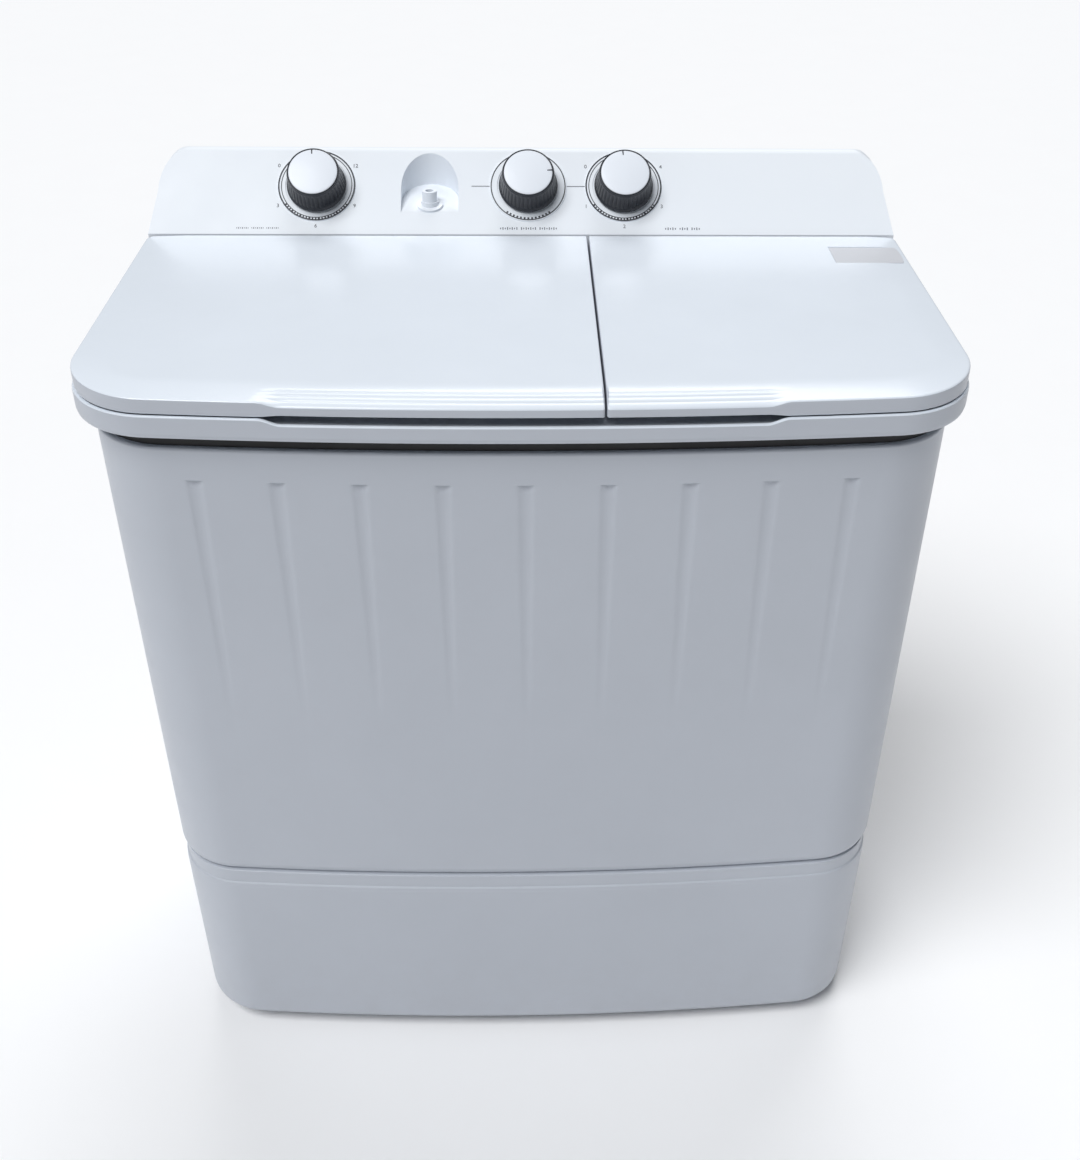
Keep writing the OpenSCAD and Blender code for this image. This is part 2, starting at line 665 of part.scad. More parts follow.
module wiring_loom() color([0.2, 0.21, 0.24])
  sweep(curve([[-200, 217, 824], [-150, 217, 802], [-60, 214, 770], [-20, 204, 640], [-20, 196, 420],
    [0, 196, 260], [20, 196, 140], [36, 190, 107]], 4), 5, [1, 0, 0.2], 8);

module lid_hinge_pins() color([0.75, 0.76, 0.78])
  for (p = lid_pins)
    translate([p[0], hinge_y, hinge_z]) rotate([0, 90, 0]) cylinder(r = pin_r, h = p[1] - p[0]);

// ---- Lids ----

module lid_half(low, high)
  translate([low, front, 0]) cube([high - low, body_d, 2000]);

module lid_boss(p) {
  x = p[2] > 0 ? p[0] : p[1] - 11;
  translate([x, hinge_y, hinge_z]) rotate([0, 90, 0]) cylinder(r = 5, h = 11);
  translate([x, hinge_y - 5, hinge_z]) cube([11, 10, plate_z - hinge_z + e]);
}

module lid(low, high, pins)
  difference() {
    union() {
      difference() {
        intersection() {
          body_slab(rim_h - 2, front + 2, 150, corner_r - 2, 8, skirt_z, lid_top - skirt_z);
          lid_half(low, high);
        }
        intersection() {
          body_slab(rim_h - 2 - wall, front + 2 + wall, 160, corner_r - 5, 8, skirt_z - 1,
            plate_z - skirt_z + 1);
          lid_half(low + wall, high - wall);
        }
        translate([-grip_half, front - 1, skirt_z - 1]) cube([2 * grip_half, 40, grip_z - skirt_z + 1]);
      }
      for (p = pins) lid_boss(p);
    }
    for (p = pins) translate([p[0] - 5, hinge_y, hinge_z]) rotate([0, 90, 0])
      cylinder(r = pin_r + run, h = p[1] - p[0] + 10);
  }

module wash_lid() color([0.88, 0.91, 0.95])
  lid(-rim_h, seam_x - seam_gap / 2, [lid_pins[0], lid_pins[1]]);

module spin_lid() color([0.88, 0.91, 0.95])
  difference() {
    lid(seam_x + seam_gap / 2, rim_h, [lid_pins[2], lid_pins[3]]);
    translate([plate_c[0], plate_c[1], lid_top - 1]) cube([74, 45, 2]);
  }

module spin_lid_plate() color([0.75, 0.78, 0.82])
  translate([plate_c[0] + 0.2, plate_c[1] + 0.2, lid_top - 1]) cube([73.6, 44.6, 0.8]);

module spin_inner_lid() color([0.8, 0.85, 0.9]) {
  difference() {
    union() {
      translate([spin_c[0], spin_c[1], 817]) cylinder(r = 131, h = 3);
      translate([156, 60, 817]) cube([140, 46, 3]);
      translate([156, 105, 818]) rotate([0, 90, 0]) cylinder(r = 3.4, h = 140);
    }
    for (k = [0:5]) rotate_about(60 * k) translate([60, 0, 810]) cylinder(r = 9, h = 20);
    translate([spin_c[0] - 25, spin_c[1] - 118, 815.5]) cube([50, 16, 3]);
  }
  for (x = [147.5, 295]) translate([x, 105, 818]) rotate([0, 90, 0]) cylinder(r = 1.5, h = 9.5);
}

module rotate_about(a)
  translate([spin_c[0], spin_c[1], 0]) rotate([0, 0, a]) children();

base();
feet();
cabinet();
top_deck();
control_panel();
panel_rear_cover();
rear_service_cover();
service_screws();
wash_tub();
spin_outer_tub();
overflow_cover();
lint_filter();
inlet_nozzle();
inlet_channel();
wash_bearing_housing();
wash_shaft_seal();
wash_motor();
wash_motor_bracket();
drive_belt();
spin_motor();
spin_motor_stand();
spin_motor_springs();
spin_motor_pads();
spin_bellows();
brake_plate();
brake_cable();
drain_valve_box();
drain_hose();
spin_drain_hose();
drain_outlet();
drain_pull_cable();
wash_timer();
selector_switch();
spin_timer();
dial_rings();
motor_capacitors();
wiring_loom();
cord_gland();
lid_hinge_pins();
wash_lid();
spin_lid();
spin_lid_plate();
spin_inner_lid();
wash_timer_knob();
wash_timer_cap();
selector_knob();
selector_cap();
spin_timer_knob();
spin_timer_cap();
pulsator();
pulsator_screw();
wash_shaft();
wash_pulley();
wash_motor_shaft();
wash_motor_pulley();
spin_basket();
spin_shaft();
brake_drum();
brake_lever();
valve_plunger();
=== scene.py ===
"""Twin tub washer: the visual model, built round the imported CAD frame.

Sizes in this script are millimetres, as in the CAD, and mesh_piece() turns them into metres.
"""

import json
from math import asin, atan2, cos, degrees, exp, hypot, pi, radians, sin, sqrt, tan, tau

import bmesh
import bpy
from mathutils import Matrix, Vector


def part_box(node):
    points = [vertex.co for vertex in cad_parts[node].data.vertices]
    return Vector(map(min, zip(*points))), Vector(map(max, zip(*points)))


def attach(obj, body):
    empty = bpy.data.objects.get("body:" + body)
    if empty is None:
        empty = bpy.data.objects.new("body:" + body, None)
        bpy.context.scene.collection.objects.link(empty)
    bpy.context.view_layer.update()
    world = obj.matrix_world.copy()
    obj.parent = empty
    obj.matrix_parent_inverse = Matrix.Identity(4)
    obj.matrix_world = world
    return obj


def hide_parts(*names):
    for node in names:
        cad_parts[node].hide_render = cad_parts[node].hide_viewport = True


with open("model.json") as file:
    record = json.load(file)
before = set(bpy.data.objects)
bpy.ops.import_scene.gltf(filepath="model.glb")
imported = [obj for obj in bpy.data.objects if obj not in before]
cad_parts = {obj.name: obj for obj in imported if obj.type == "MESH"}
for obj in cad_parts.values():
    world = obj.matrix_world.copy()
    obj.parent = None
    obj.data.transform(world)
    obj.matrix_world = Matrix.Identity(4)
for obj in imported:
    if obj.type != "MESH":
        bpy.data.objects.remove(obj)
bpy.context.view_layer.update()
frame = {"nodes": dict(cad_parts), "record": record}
MM = 0.001


def span(node):
    """Lowest and highest corner of a CAD node, in millimetres."""
    low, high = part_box(node)
    return low / MM, high / MM


# ---- Driving dimensions, read from the frame ----

rim_low, rim_high = span("top_deck")
cab_low, cab_high = span("cabinet")
base_low, base_high = span("base")
wash_low, wash_high = span("wash_lid")

BOW = 20  # how far the front bows out at its middle
RIM_CORNER = 84  # radius of the rim's front corners
REAR_CORNER = 40  # radius of the cabinet's and plinth's rear corners
LID_TOP = wash_high.z  # flat top of the lids
RIM_TOP = 818  # top of the rim round the lids
GRIP_HALF = 218  # half the width of the finger grip
SLOPE = radians(42.6)  # lean of the control panel's face
PANEL_Y = span("control_panel")[0].y
KNOB_UP = 57  # the dials' centres, up the slope
FLUTE_GAP = 73.3  # spacing of the cabinet's flutes
HINGE_Y = 136  # axis of both lids
HINGE_Z = LID_TOP - 8


def centre_of(node):
    """Middle of a CAD node's box, in millimetres."""
    low, high = span(node)
    return (low + high) / 2


def new_object(name, data):
    """A new object in the scene."""
    obj = bpy.data.objects.new(name, data)
    bpy.context.collection.objects.link(obj)
    return obj


wash_c = centre_of("wash_shaft")
spin_c = centre_of("spin_shaft")


# ---- Camera ----

def add_camera():
    """Looks down on the front of the machine, a little from its left."""
    data = bpy.data.cameras.new("camera")
    data.sensor_width = 36
    data.lens = 42.46
    data.shift_x = -0.026
    data.shift_y = 0.008
    data.clip_start = 0.05
    data.clip_end = 60
    camera = new_object("camera", data)
    eye = (-0.0008, -1.2795, 1.3605)
    pitch, yaw, tilt = radians(34.55), radians(2.26), radians(0.91)
    turn = Matrix.Rotation(-yaw, 4, "Z") @ Matrix.Rotation(pi / 2 - pitch, 4, "X")
    camera.matrix_world = Matrix.Translation(eye) @ turn @ Matrix.Rotation(tilt, 4, "Z")
    bpy.context.scene.camera = camera


add_camera()


# ---- Materials ----

def linear(value):
    """Linear light from a screen value, both 0 to 1."""
    return value / 12.92 if value <= 0.04045 else ((value + 0.055) / 1.055) ** 2.4


def colour(red, green, blue):
    """A colour given as 0 to 255 on screen."""
    return (linear(red / 255), linear(green / 255), linear(blue / 255), 1.0)


def scaled(rgba, amount):
    """A colour made lighter or darker."""
    return tuple(min(1.0, c * amount) for c in rgba[:3]) + (1.0,)


def noise(tree, coords, scale, detail, roughness=0.5, stretch=None):
    """A noise value over the coordinates, drawn out along the axes that stretch scales least."""
    if stretch:
        mapping = tree.nodes.new("ShaderNodeMapping")
        mapping.inputs["Scale"].default_value = stretch
        tree.links.new(coords, mapping.inputs["Vector"])
        coords = mapping.outputs["Vector"]
    node = tree.nodes.new("ShaderNodeTexNoise")
    node.inputs["Scale"].default_value = scale
    node.inputs["Detail"].default_value = detail
    node.inputs["Roughness"].default_value = roughness
    tree.links.new(coords, node.inputs["Vector"])
    return node.outputs["Fac"]


def spread(tree, value, low, high, start=0.3, end=0.7):
    """value remapped so that start gives low and end gives high."""
    node = tree.nodes.new("ShaderNodeMapRange")
    node.inputs["From Min"].default_value = start
    node.inputs["From Max"].default_value = end
    node.inputs["To Min"].default_value = low
    node.inputs["To Max"].default_value = high
    tree.links.new(value, node.inputs["Value"])
    return node.outputs["Result"]


def blend_colour(tree, factor, first, second):
    """A mix of two colours, each a fixed colour or another node's output."""
    node = tree.nodes.new("ShaderNodeMix")
    node.data_type = "RGBA"
    tree.links.new(factor, node.inputs["Factor"])
    for socket, value in ((node.inputs["A"], first), (node.inputs["B"], second)):
        if isinstance(value, tuple):
            socket.default_value = value
        else:
            tree.links.new(value, socket)
    return node.outputs["Result"]


def dusted(tree, coords, tint, amount):
    """The tint with patches of dust, which thin out upwards from the floor."""
    dust_top = 0.16
    height = tree.nodes.new("ShaderNodeSeparateXYZ")
    tree.links.new(coords, height.inputs["Vector"])
    low_down = spread(tree, height.outputs["Z"], amount, 0, 0.0, dust_top)
    patches = spread(tree, noise(tree, coords, 30.0, 5.0, 0.65), 0, 1, 0.35, 0.75)
    both = tree.nodes.new("ShaderNodeMath")
    both.operation = "MULTIPLY"
    tree.links.new(low_down, both.inputs[0])
    tree.links.new(patches, both.inputs[1])
    return blend_colour(tree, both.outputs[0], tint, colour(150, 143, 132))


def surface(name, base, rough, grain, bump, mottle, metal=0.0, coat=0.0, stretch=None,
            dust=0.0, specks=0.0, rough_spread=0.06, relief=0.0002):
    """A moulded or finished surface: grain in the bump, mottled colour, handled gloss, dust low down."""
    material = bpy.data.materials.new(name)
    material.use_nodes = True
    tree = material.node_tree
    shader = tree.nodes["Principled BSDF"]
    shader.inputs["Metallic"].default_value = metal
    if coat:
        shader.inputs["Coat Weight"].default_value = coat
        shader.inputs["Coat Roughness"].default_value = 0.12
    coords = tree.nodes.new("ShaderNodeTexCoord").outputs["Object"]
    clouds = noise(tree, coords, 7.0, 4.0, 0.6)
    tint = blend_colour(tree, spread(tree, clouds, 0, 1), scaled(base, 1 - mottle),
                        scaled(base, 1 + mottle))
    if specks:
        flecks = spread(tree, noise(tree, coords, 260.0, 2.0), 0, specks, 0.64, 0.72)
        tint = blend_colour(tree, flecks, tint, scaled(base, 0.55))
    if dust:
        tint = dusted(tree, coords, tint, dust)
    tree.links.new(tint, shader.inputs["Base Color"])
    smears = noise(tree, coords, 22.0, 6.0, 0.6, stretch)
    tree.links.new(spread(tree, smears, max(0.04, rough - rough_spread), rough + rough_spread),
                   shader.inputs["Roughness"])
    skin = noise(tree, coords, grain, 2.0, 0.5, stretch)
    lift = tree.nodes.new("ShaderNodeBump")
    lift.inputs["Strength"].default_value = bump
    lift.inputs["Distance"].default_value = relief
    tree.links.new(skin, lift.inputs["Height"])
    tree.links.new(lift.outputs["Normal"], shader.inputs["Normal"])
    return material


# Each finish: screen colour, roughness, grain, bump, mottle, and what else surface() takes.
FINISHES = dict(
    # body_plastic's grey, below lid_plastic's white, is painted shade: the same white plastic, darkened
    # to stand for the shade on the machine's upright faces.
    body_plastic=((190, 195, 204), 0.38, 700, 0.12, 0.015, {"dust": 0.1}),
    foot_rubber=((44, 45, 48), 0.75, 500, 0.3, 0.12, {"specks": 0.3}),
    panel_plastic=((243, 248, 255), 0.5, 800, 0.06, 0.01, {}),
    cover_plastic=((190, 193, 198), 0.5, 420, 0.35, 0.04, {"specks": 0.15}),
    zinc_steel=((200, 200, 202), 0.32, 600, 0.1, 0.08, {"metal": 1.0}),
    tub_plastic=((226, 231, 236), 0.22, 300, 0.04, 0.02, {"specks": 0.04}),
    filter_plastic=((214, 221, 228), 0.3, 400, 0.1, 0.03, {}),
    filter_blue=((112, 152, 190), 0.3, 400, 0.1, 0.05, {}),
    cast_metal=((168, 170, 174), 0.46, 260, 0.5, 0.1, {"metal": 0.9, "specks": 0.3}),
    black_rubber=((34, 34, 36), 0.62, 500, 0.25, 0.14, {"specks": 0.2}),
    motor_steel=((120, 124, 130), 0.42, 300, 0.25, 0.08, {"metal": 0.4, "specks": 0.25}),
    bright_steel=((206, 207, 210), 0.2, 900, 0.12, 0.05,
                  {"metal": 1.0, "stretch": (1.0, 1.0, 14.0)}),
    hose_plastic=((70, 72, 76), 0.5, 500, 0.2, 0.1, {"specks": 0.2}),
    timer_plastic=((220, 214, 196), 0.45, 400, 0.2, 0.05, {}),
    dark_plastic=((31, 34, 43), 0.3, 700, 0.12, 0.1, {"coat": 0.15}),
    lid_plastic=((233, 240, 249), 0.24, 90, 0.05, 0.012,
                 {"coat": 0.2, "relief": 0.0006, "rough_spread": 0.03}),
    plate_grey=((206, 208, 214), 0.42, 900, 0.2, 0.03, {}),
    inner_lid_plastic=((214, 224, 236), 0.24, 400, 0.06, 0.03, {}),
    cap_plastic=((240, 245, 253), 0.4, 700, 0.05, 0.01, {"coat": 0.1}),
    pulsator_plastic=((196, 208, 222), 0.25, 400, 0.08, 0.03, {}),
    basket_plastic=((204, 210, 217), 0.28, 400, 0.1, 0.03, {}),
    valve_red=((150, 72, 58), 0.6, 500, 0.2, 0.1, {"specks": 0.2}),
    print_ink=((44, 48, 58), 0.5, 900, 0.05, 0.05, {}),
    print_grey=((98, 102, 112), 0.5, 900, 0.05, 0.05, {}),
    floor=((249, 249, 250), 0.92, 60, 0.05, 0.004, {"rough_spread": 0.02}),
)

mats = {name: surface(name, colour(*rgb), rough, grain, bump, mottle, **more)
        for name, (rgb, rough, grain, bump, mottle, more) in FINISHES.items()}

body_of_node = {n: b for b, members in frame["record"]["behaviour"]["bodies"].items() for n in members}
slot_of_node = {p["node"]: p["material_slot"] for p in frame["record"]["subparts"]}


# ---- Mesh tools ----

BEVEL_ANGLE = 34


def paint(obj, *finishes):
    """Gives a piece its materials, in order."""
    for finish in finishes:
        obj.data.materials.append(mats[finish])


def soften(mesh, angle):
    """Smooth shading, with edges sharper than angle degrees kept crisp."""
    mesh.polygons.foreach_set("use_smooth", [True] * len(mesh.polygons))
    mesh.set_sharp_from_angle(angle=radians(angle))


def weigh_normals(obj):
    """Lets large faces set the shading, so that flat areas look flat beside rounded edges."""
    mod = obj.modifiers.new("normals", "WEIGHTED_NORMAL")
    mod.mode = "FACE_AREA"
    mod.weight = 60
    mod.keep_sharp = True
    return baked(obj)


def finish_piece(obj, node, slot=None, stands_for=True, angle=40, flat=True):
    """Gives a piece its material, its body and the CAD node it stands for."""
    body = body_of_node[node]
    slot = slot or slot_of_node[node]
    if not obj.data.materials:
        paint(obj, slot)
    soften(obj.data, angle)
    if flat:
        weigh_normals(obj)
    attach(obj, body)
    if stands_for:
        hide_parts(node)
    return obj


def mesh_piece(name, points, faces):
    """A new object from points in millimetres."""
    mesh = bpy.data.meshes.new(name)
    mesh.from_pydata([(x * MM, y * MM, z * MM) for x, y, z in points], [], faces)
    mesh.validate()
    obj = new_object(name, mesh)
    repair(mesh)
    return obj


def repair(mesh):
    """Welds doubled points and turns the faces outward."""
    work = bmesh.new()
    work.from_mesh(mesh)
    bmesh.ops.remove_doubles(work, verts=work.verts, dist=0.01 * MM)
    bmesh.ops.recalc_face_normals(work, faces=work.faces)
    work.to_mesh(mesh)
    work.free()


def join(name, *parts):
    """One object from several; each part's material is kept."""
    target = parts[0]
    merged, materials = bmesh.new(), []
    for part in parts:
        start = len(merged.faces)
        part_mesh = part.data.copy()
        part_mesh.transform(part.matrix_world)
        merged.from_mesh(part_mesh)
        merged.faces.ensure_lookup_table()
        offset = {}
        for i, m in enumerate(part.data.materials):
            if m not in materials:
                materials.append(m)
            offset[i] = materials.index(m)
        for face in merged.faces[start:]:
            face.material_index = offset.get(face.material_index, 0)
        bpy.data.meshes.remove(part_mesh)
    mesh = bpy.data.meshes.new(name)
    merged.to_mesh(mesh)
    merged.free()
    for m in materials:
        mesh.materials.append(m)
    for part in parts[1:]:
        bpy.data.objects.remove(part)
    target.data = mesh
    target.matrix_world = Matrix.Identity(4)
    target.name = name
    return target


def baked(obj):
    """Applies an object's modifiers to its mesh."""
    graph = bpy.context.evaluated_depsgraph_get()
    mesh = bpy.data.meshes.new_from_object(obj.evaluated_get(graph))
    obj.modifiers.clear()
    obj.data = mesh
    return obj


def bevelled(obj, width, segments=2):
    """Rounds every edge sharper than BEVEL_ANGLE degrees."""
    mod = obj.modifiers.new("edges", "BEVEL")
    mod.width = width * MM
    mod.segments = segments
    mod.limit_method = "ANGLE"
    mod.angle_limit = radians(BEVEL_ANGLE)
    mod.use_clamp_overlap = True
    return baked(obj)


def cut(obj, *cutters, operation="DIFFERENCE"):
    """Takes the cutters away from obj, or with INTERSECT keeps only what lies in them."""
    for cutter in cutters:
        mod = obj.modifiers.new("cut", "BOOLEAN")
        mod.operation = operation
        mod.solver = "EXACT"
        mod.object = cutter
        bpy.context.view_layer.update()
        baked(obj)
        bpy.data.objects.remove(cutter)
    return obj


def detail_copy(node, width, segments=2):
    """The CAD node's own shape, with its edges rounded."""
    mesh = frame["nodes"][node].data.copy()
    work = bmesh.new()
    work.from_mesh(mesh)
    bmesh.ops.remove_doubles(work, verts=work.verts, dist=0.02 * MM)
    bmesh.ops.dissolve_limit(work, angle_limit=radians(0.6), verts=work.verts, edges=work.edges)
    bmesh.ops.recalc_face_normals(work, faces=work.faces)
    work.to_mesh(mesh)
    work.free()
    if "custom_normal" in mesh.attributes:
        mesh.attributes.remove(mesh.attributes["custom_normal"])
    mesh.materials.clear()
    obj = new_object(node + "_part", mesh)
    if width:
        bevelled(obj, width, segments)
    obj.data.materials.clear()
    paint(obj, slot_of_node[node])
    return obj


def keep_shape(node, width, segments=2, smooth=34):
    """A piece with its CAD node's shape, its edges rounded."""
    finish_piece(detail_copy(node, width, segments), node, angle=smooth)


def arc(centre, radius, start, end, count):
    """count + 1 points of an arc, angles in degrees."""
    points = []
    for i in range(count + 1):
        a = radians(start + (end - start) * i / count)
        points.append((centre[0] + radius * cos(a), centre[1] + radius * sin(a)))
    return points


def fillet(corners, closed=False):
    """A profile with rounded corners. Each corner is (across, up, radius)."""
    out = []
    last = len(corners) - 1
    for i, (x, y, radius) in enumerate(corners):
        if radius <= 0 or (not closed and i in (0, last)):
            out.append((x, y))
            continue
        here = Vector((x, y))
        before = Vector(corners[i - 1][:2]) - here
        after = Vector(corners[(i + 1) % len(corners)][:2]) - here
        turn = before.angle(after)
        reach = min(radius / tan(turn / 2), before.length * 0.49, after.length * 0.49)
        bend = reach * tan(turn / 2)
        inward = (before.normalized() + after.normalized()).normalized()
        middle = here + inward * (bend / sin(turn / 2))
        first = here + before.normalized() * reach - middle
        second = here + after.normalized() * reach - middle
        start, sweep = atan2(first.y, first.x), second.angle_signed(first)
        steps = max(2, min(8, int(abs(pi - turn) * 3.2) + 1))
        for k in range(steps + 1):
            a = start + sweep * k / steps
            out.append((middle.x + bend * cos(a), middle.y + bend * sin(a)))
    return out


def loft(rings, closed=False, cap_first=False, cap_last=False):
    """Points and faces through rings of equal length; closed joins the last ring to the first."""
    count = len(rings[0])
    points = [p for ring in rings for p in ring]
    faces = []
    for i in range(len(rings) if closed else len(rings) - 1):
        a, b = i * count, ((i + 1) % len(rings)) * count
        for k in range(count):
            n = (k + 1) % count
            faces.append((a + k, a + n, b + n, b + k))
    if cap_first:
        faces.append(tuple(reversed(range(count))))
    if cap_last:
        faces.append(tuple((len(rings) - 1) * count + k for k in range(count)))
    return points, faces


def solid(name, rings):
    """A piece lofted through rings, with both ends closed."""
    return mesh_piece(name, *loft(rings, cap_first=True, cap_last=True))


def floored(rings, split):
    """A closed loft with flat faces on ring split and the next, and no band between them."""
    count = len(rings[0])
    points, faces = loft(rings, closed=True)
    faces = [f for f in faces if not (f[0] // count == split and f[2] // count == split + 1)]
    faces.append(tuple(split * count + k for k in range(count)))
    faces.append(tuple((split + 1) * count + k for k in reversed(range(count))))
    return points, faces


def circle(centre, radius, z, steps):
    """Points of a level circle."""
    turns = [tau * k / steps for k in range(steps)]
    return [(centre[0] + radius * cos(a), centre[1] + radius * sin(a), z) for a in turns]


def turned(name, profile, centre, steps, closed=True):
    """A turned part about an upright axis, from a profile of (radius, height)."""
    rings = [circle(centre, max(radius, 0.001), z, steps) for radius, z in profile]
    return mesh_piece(name, *loft(rings, closed=closed))


FRONT_STEPS = 44


class Outline:
    """The body from above: a bowed front, round front corners, straight sides, small rear corners."""

    def __init__(self, half, front, back, corner, rear, stops=()):
        """stops adds y positions on the straight sides."""
        self.half, self.front, self.back = half, front, back
        self.corner, self.rear, self.stops = corner, rear, stops

    def ring(self, inset, z, fine=()):
        """Points round the outline, inset inwards, at height z; fine adds x positions on the front."""
        half, front, back = self.half - inset, self.front + inset, self.back - inset
        big = (self.half ** 2 + BOW ** 2) / (2 * BOW) - inset
        corner, rear = max(self.corner - inset, 1.0), max(self.rear - inset, 1.0)
        cy = front + big - sqrt((big - corner) ** 2 - (half - corner) ** 2)
        reach = asin((half - corner) / (big - corner))
        edge = big * sin(reach)
        even = {round(-edge + 2 * edge * i / FRONT_STEPS, 6) for i in range(FRONT_STEPS + 1)}
        xs = sorted(even | {x for x in fine if abs(x) < edge - 1.0})
        points = [(x, front + big - sqrt(big ** 2 - x ** 2)) for x in xs]
        end = degrees(reach) - 90
        points += arc((half - corner, cy), corner, end, 0, 18)[1:]
        ys = sorted([cy + (back - rear - cy) * k / 8 for k in range(1, 8)] + list(self.stops))
        points += [(half, y) for y in ys]
        points += arc((half - rear, back - rear), rear, 0, 90, 8)
        points += [(half - rear - 2 * (half - rear) * k / 16, back) for k in range(1, 16)]
        points += arc((rear - half, back - rear), rear, 90, 180, 8)
        points += [(-half, y) for y in reversed(ys)]
        points += arc((corner - half, cy), corner, 180, 180 - end, 18)[:-1]
        return [(x, y, z) for x, y in points]


def shell(name, outline, profile, fine=(), lift=None):
    """A closed shell: the outline swept through a closed profile of (inset, height).

    lift may move each point afterwards, as lift(x, y, z, inset) -> (x, y, z)."""
    rings = []
    for inset, z in profile:
        ring = outline.ring(inset, z, fine)
        rings.append([lift(*p, inset) for p in ring] if lift else ring)
    return mesh_piece(name, *loft(rings, closed=True))


def smoothstep(low, high, value):
    """0 below low, 1 above high, and an S curve between."""
    t = min(1.0, max(0.0, (value - low) / (high - low)))
    return t * t * (3 - 2 * t)


def block(name, low, high, rounding=0.0):
    """A box between two corners."""
    (x0, y0, z0), (x1, y1, z1) = low, high
    points = [(x, y, z) for z in (z0, z1) for y in (y0, y1) for x in (x0, x1)]
    faces = [(0, 2, 3, 1), (4, 5, 7, 6), (0, 1, 5, 4), (2, 6, 7, 3), (0, 4, 6, 2), (1, 3, 7, 5)]
    obj = mesh_piece(name, points, faces)
    return bevelled(obj, rounding) if rounding else obj


def rod(name, start, end, radius, steps=24):
    """A straight round bar from start to end."""
    start, end = Vector(start), Vector(end)
    way = (end - start).normalized()
    side = way.orthogonal().normalized()
    other = way.cross(side)
    turns = [tau * k / steps for k in range(steps)]
    rings = [[tuple(c + radius * (side * cos(a) + other * sin(a))) for a in turns]
             for c in (start, end)]
    return solid(name, rings)


# ---- Cabinet and plinth ----

CAB_CORNER = RIM_CORNER - 6
SHOULDER_Z = 782
FLUTE_PAIRS = 4
FLUTE_TOP = 749
FLUTE_END = 470
FLUTE_SINK = 1.4
NOTCH_SINK = 1.3
TALL_RUN = 100  # profile runs longer than this get the flutes' extra heights
COVER_LAP = 15
cabinet_outline = Outline(cab_high.x, cab_low.y, cab_high.y, CAB_CORNER, REAR_CORNER)
fine_x = {round(k * FLUTE_GAP + side * d, 4) for k in range(-FLUTE_PAIRS, FLUTE_PAIRS + 1)
          for side in (-1, 1) for d in (0.5, 1.6, 2.8, 4, 5.5, 7, 9)}


def flute_depth(x, z):
    """How far a flute sinks the front at x and z: deep and blunt at its top, fading down."""
    k = round(x / FLUTE_GAP)
    if abs(k) > FLUTE_PAIRS or z > FLUTE_TOP + 1 or z < FLUTE_END:
        return 0
    across = abs(x - k * FLUTE_GAP)
    fade = (z - FLUTE_END) / (FLUTE_TOP - FLUTE_END)
    width = 4 + 3.5 * fade
    if across > width:
        return 0
    blunt = 1 - smoothstep(FLUTE_TOP - 0.4, FLUTE_TOP + 0.4, z)
    notch = NOTCH_SINK * smoothstep(FLUTE_TOP - 9, FLUTE_TOP - 3, z)
    hollow = cos(pi / 2 * across / width) ** 0.8
    return (FLUTE_SINK * fade ** 0.8 + notch) * blunt * hollow


def flute(x, y, z, inset):
    """Sinks a point of the cabinet's front into its flute."""
    sink = flute_depth(x, z) if y < cab_low.y + 40 else 0
    return (x, y + sink, z)


def with_flute_heights(outer):
    """The profile with extra points on its tall runs, close together round the flutes' tops."""
    heights = [FLUTE_TOP + d for d in (4, 0.4, 0.1, -0.1, -0.4, -3, -5, -7, -9, -14, -22)]
    heights += [FLUTE_TOP - 22 - 16 * k for k in range(1, 16)]
    profile = []
    for i, (inset, z) in enumerate(outer):
        next_inset, next_z = outer[(i + 1) % len(outer)]
        profile.append((inset, z))
        if abs(next_z - z) > TALL_RUN:
            for h in sorted(heights, reverse=z > next_z):
                if min(z, next_z) + 2 < h < max(z, next_z) - 2:
                    profile.append((inset + (next_inset - inset) * (h - z) / (next_z - z), h))
    return profile


def build_cabinet():
    """The tall shell, with a rolled lower edge, a shoulder under the rim and nine flutes."""
    bottom, top = cab_low.z, cab_high.z
    corners = [(9, top, 0.3), (9, SHOULDER_Z, 0.8), (0, SHOULDER_Z - 1, 3),
               (2.6, bottom + 7, 8), (5, bottom, 1.4), (8.4, bottom, 0.6),
               (6.2, bottom + 12, 6), (4.4, SHOULDER_Z - 5, 3), (11.5, SHOULDER_Z - 4, 0.8),
               (11.5, top, 0.3)]
    profile = with_flute_heights(fillet(corners, closed=True))
    cabinet = shell("cabinet_shell", cabinet_outline, profile, fine_x, flute)
    inside, outside = cab_high.y - 12, cab_high.y + 10
    cover_low, cover_high = span("rear_service_cover")
    hole = block("hole", (cover_low.x + COVER_LAP, inside, cover_low.z + COVER_LAP),
                 (cover_high.x - COVER_LAP, outside, cover_high.z - COVER_LAP))
    gland = centre_of("cord_gland")
    bore = rod("bore", (gland.x, inside, gland.z), (gland.x, outside, gland.z), 8, 32)
    cut(cabinet, hole, bore)
    finish_piece(cabinet, "cabinet", angle=38)


def build_base():
    """The plinth, with a stepped band under the cabinet and a rounded lower edge."""
    outline = Outline(base_high.x, base_low.y, base_high.y, CAB_CORNER - 2, REAR_CORNER)
    bottom, top = base_low.z, base_high.z
    band, floor = top - 21, bottom + 3
    outer = fillet([(40, bottom, 0), (2.5, bottom, 14), (0, band - 6, 3), (0.4, band, 1.5),
                    (2, band + 1.6, 1), (2.4, top - 3.4, 1.2), (7.5, top - 3, 0.8),
                    (7.5, top, 0.5), (10.5, top, 0.5), (10, bottom + 12, 6), (18, floor, 6),
                    (40, floor, 0)])
    base = solid("plinth_shell", [outline.ring(i, z) for i, z in outer])
    cup_low, cup_high = span("drain_outlet")
    gap = 0.3
    hole = block("hole", (cup_low.x - gap, base_high.y - 14, cup_low.z - gap),
                 (cup_high.x + gap, base_high.y + 10, cup_high.z + gap))
    cut(base, hole)
    finish_piece(base, "base", angle=38)


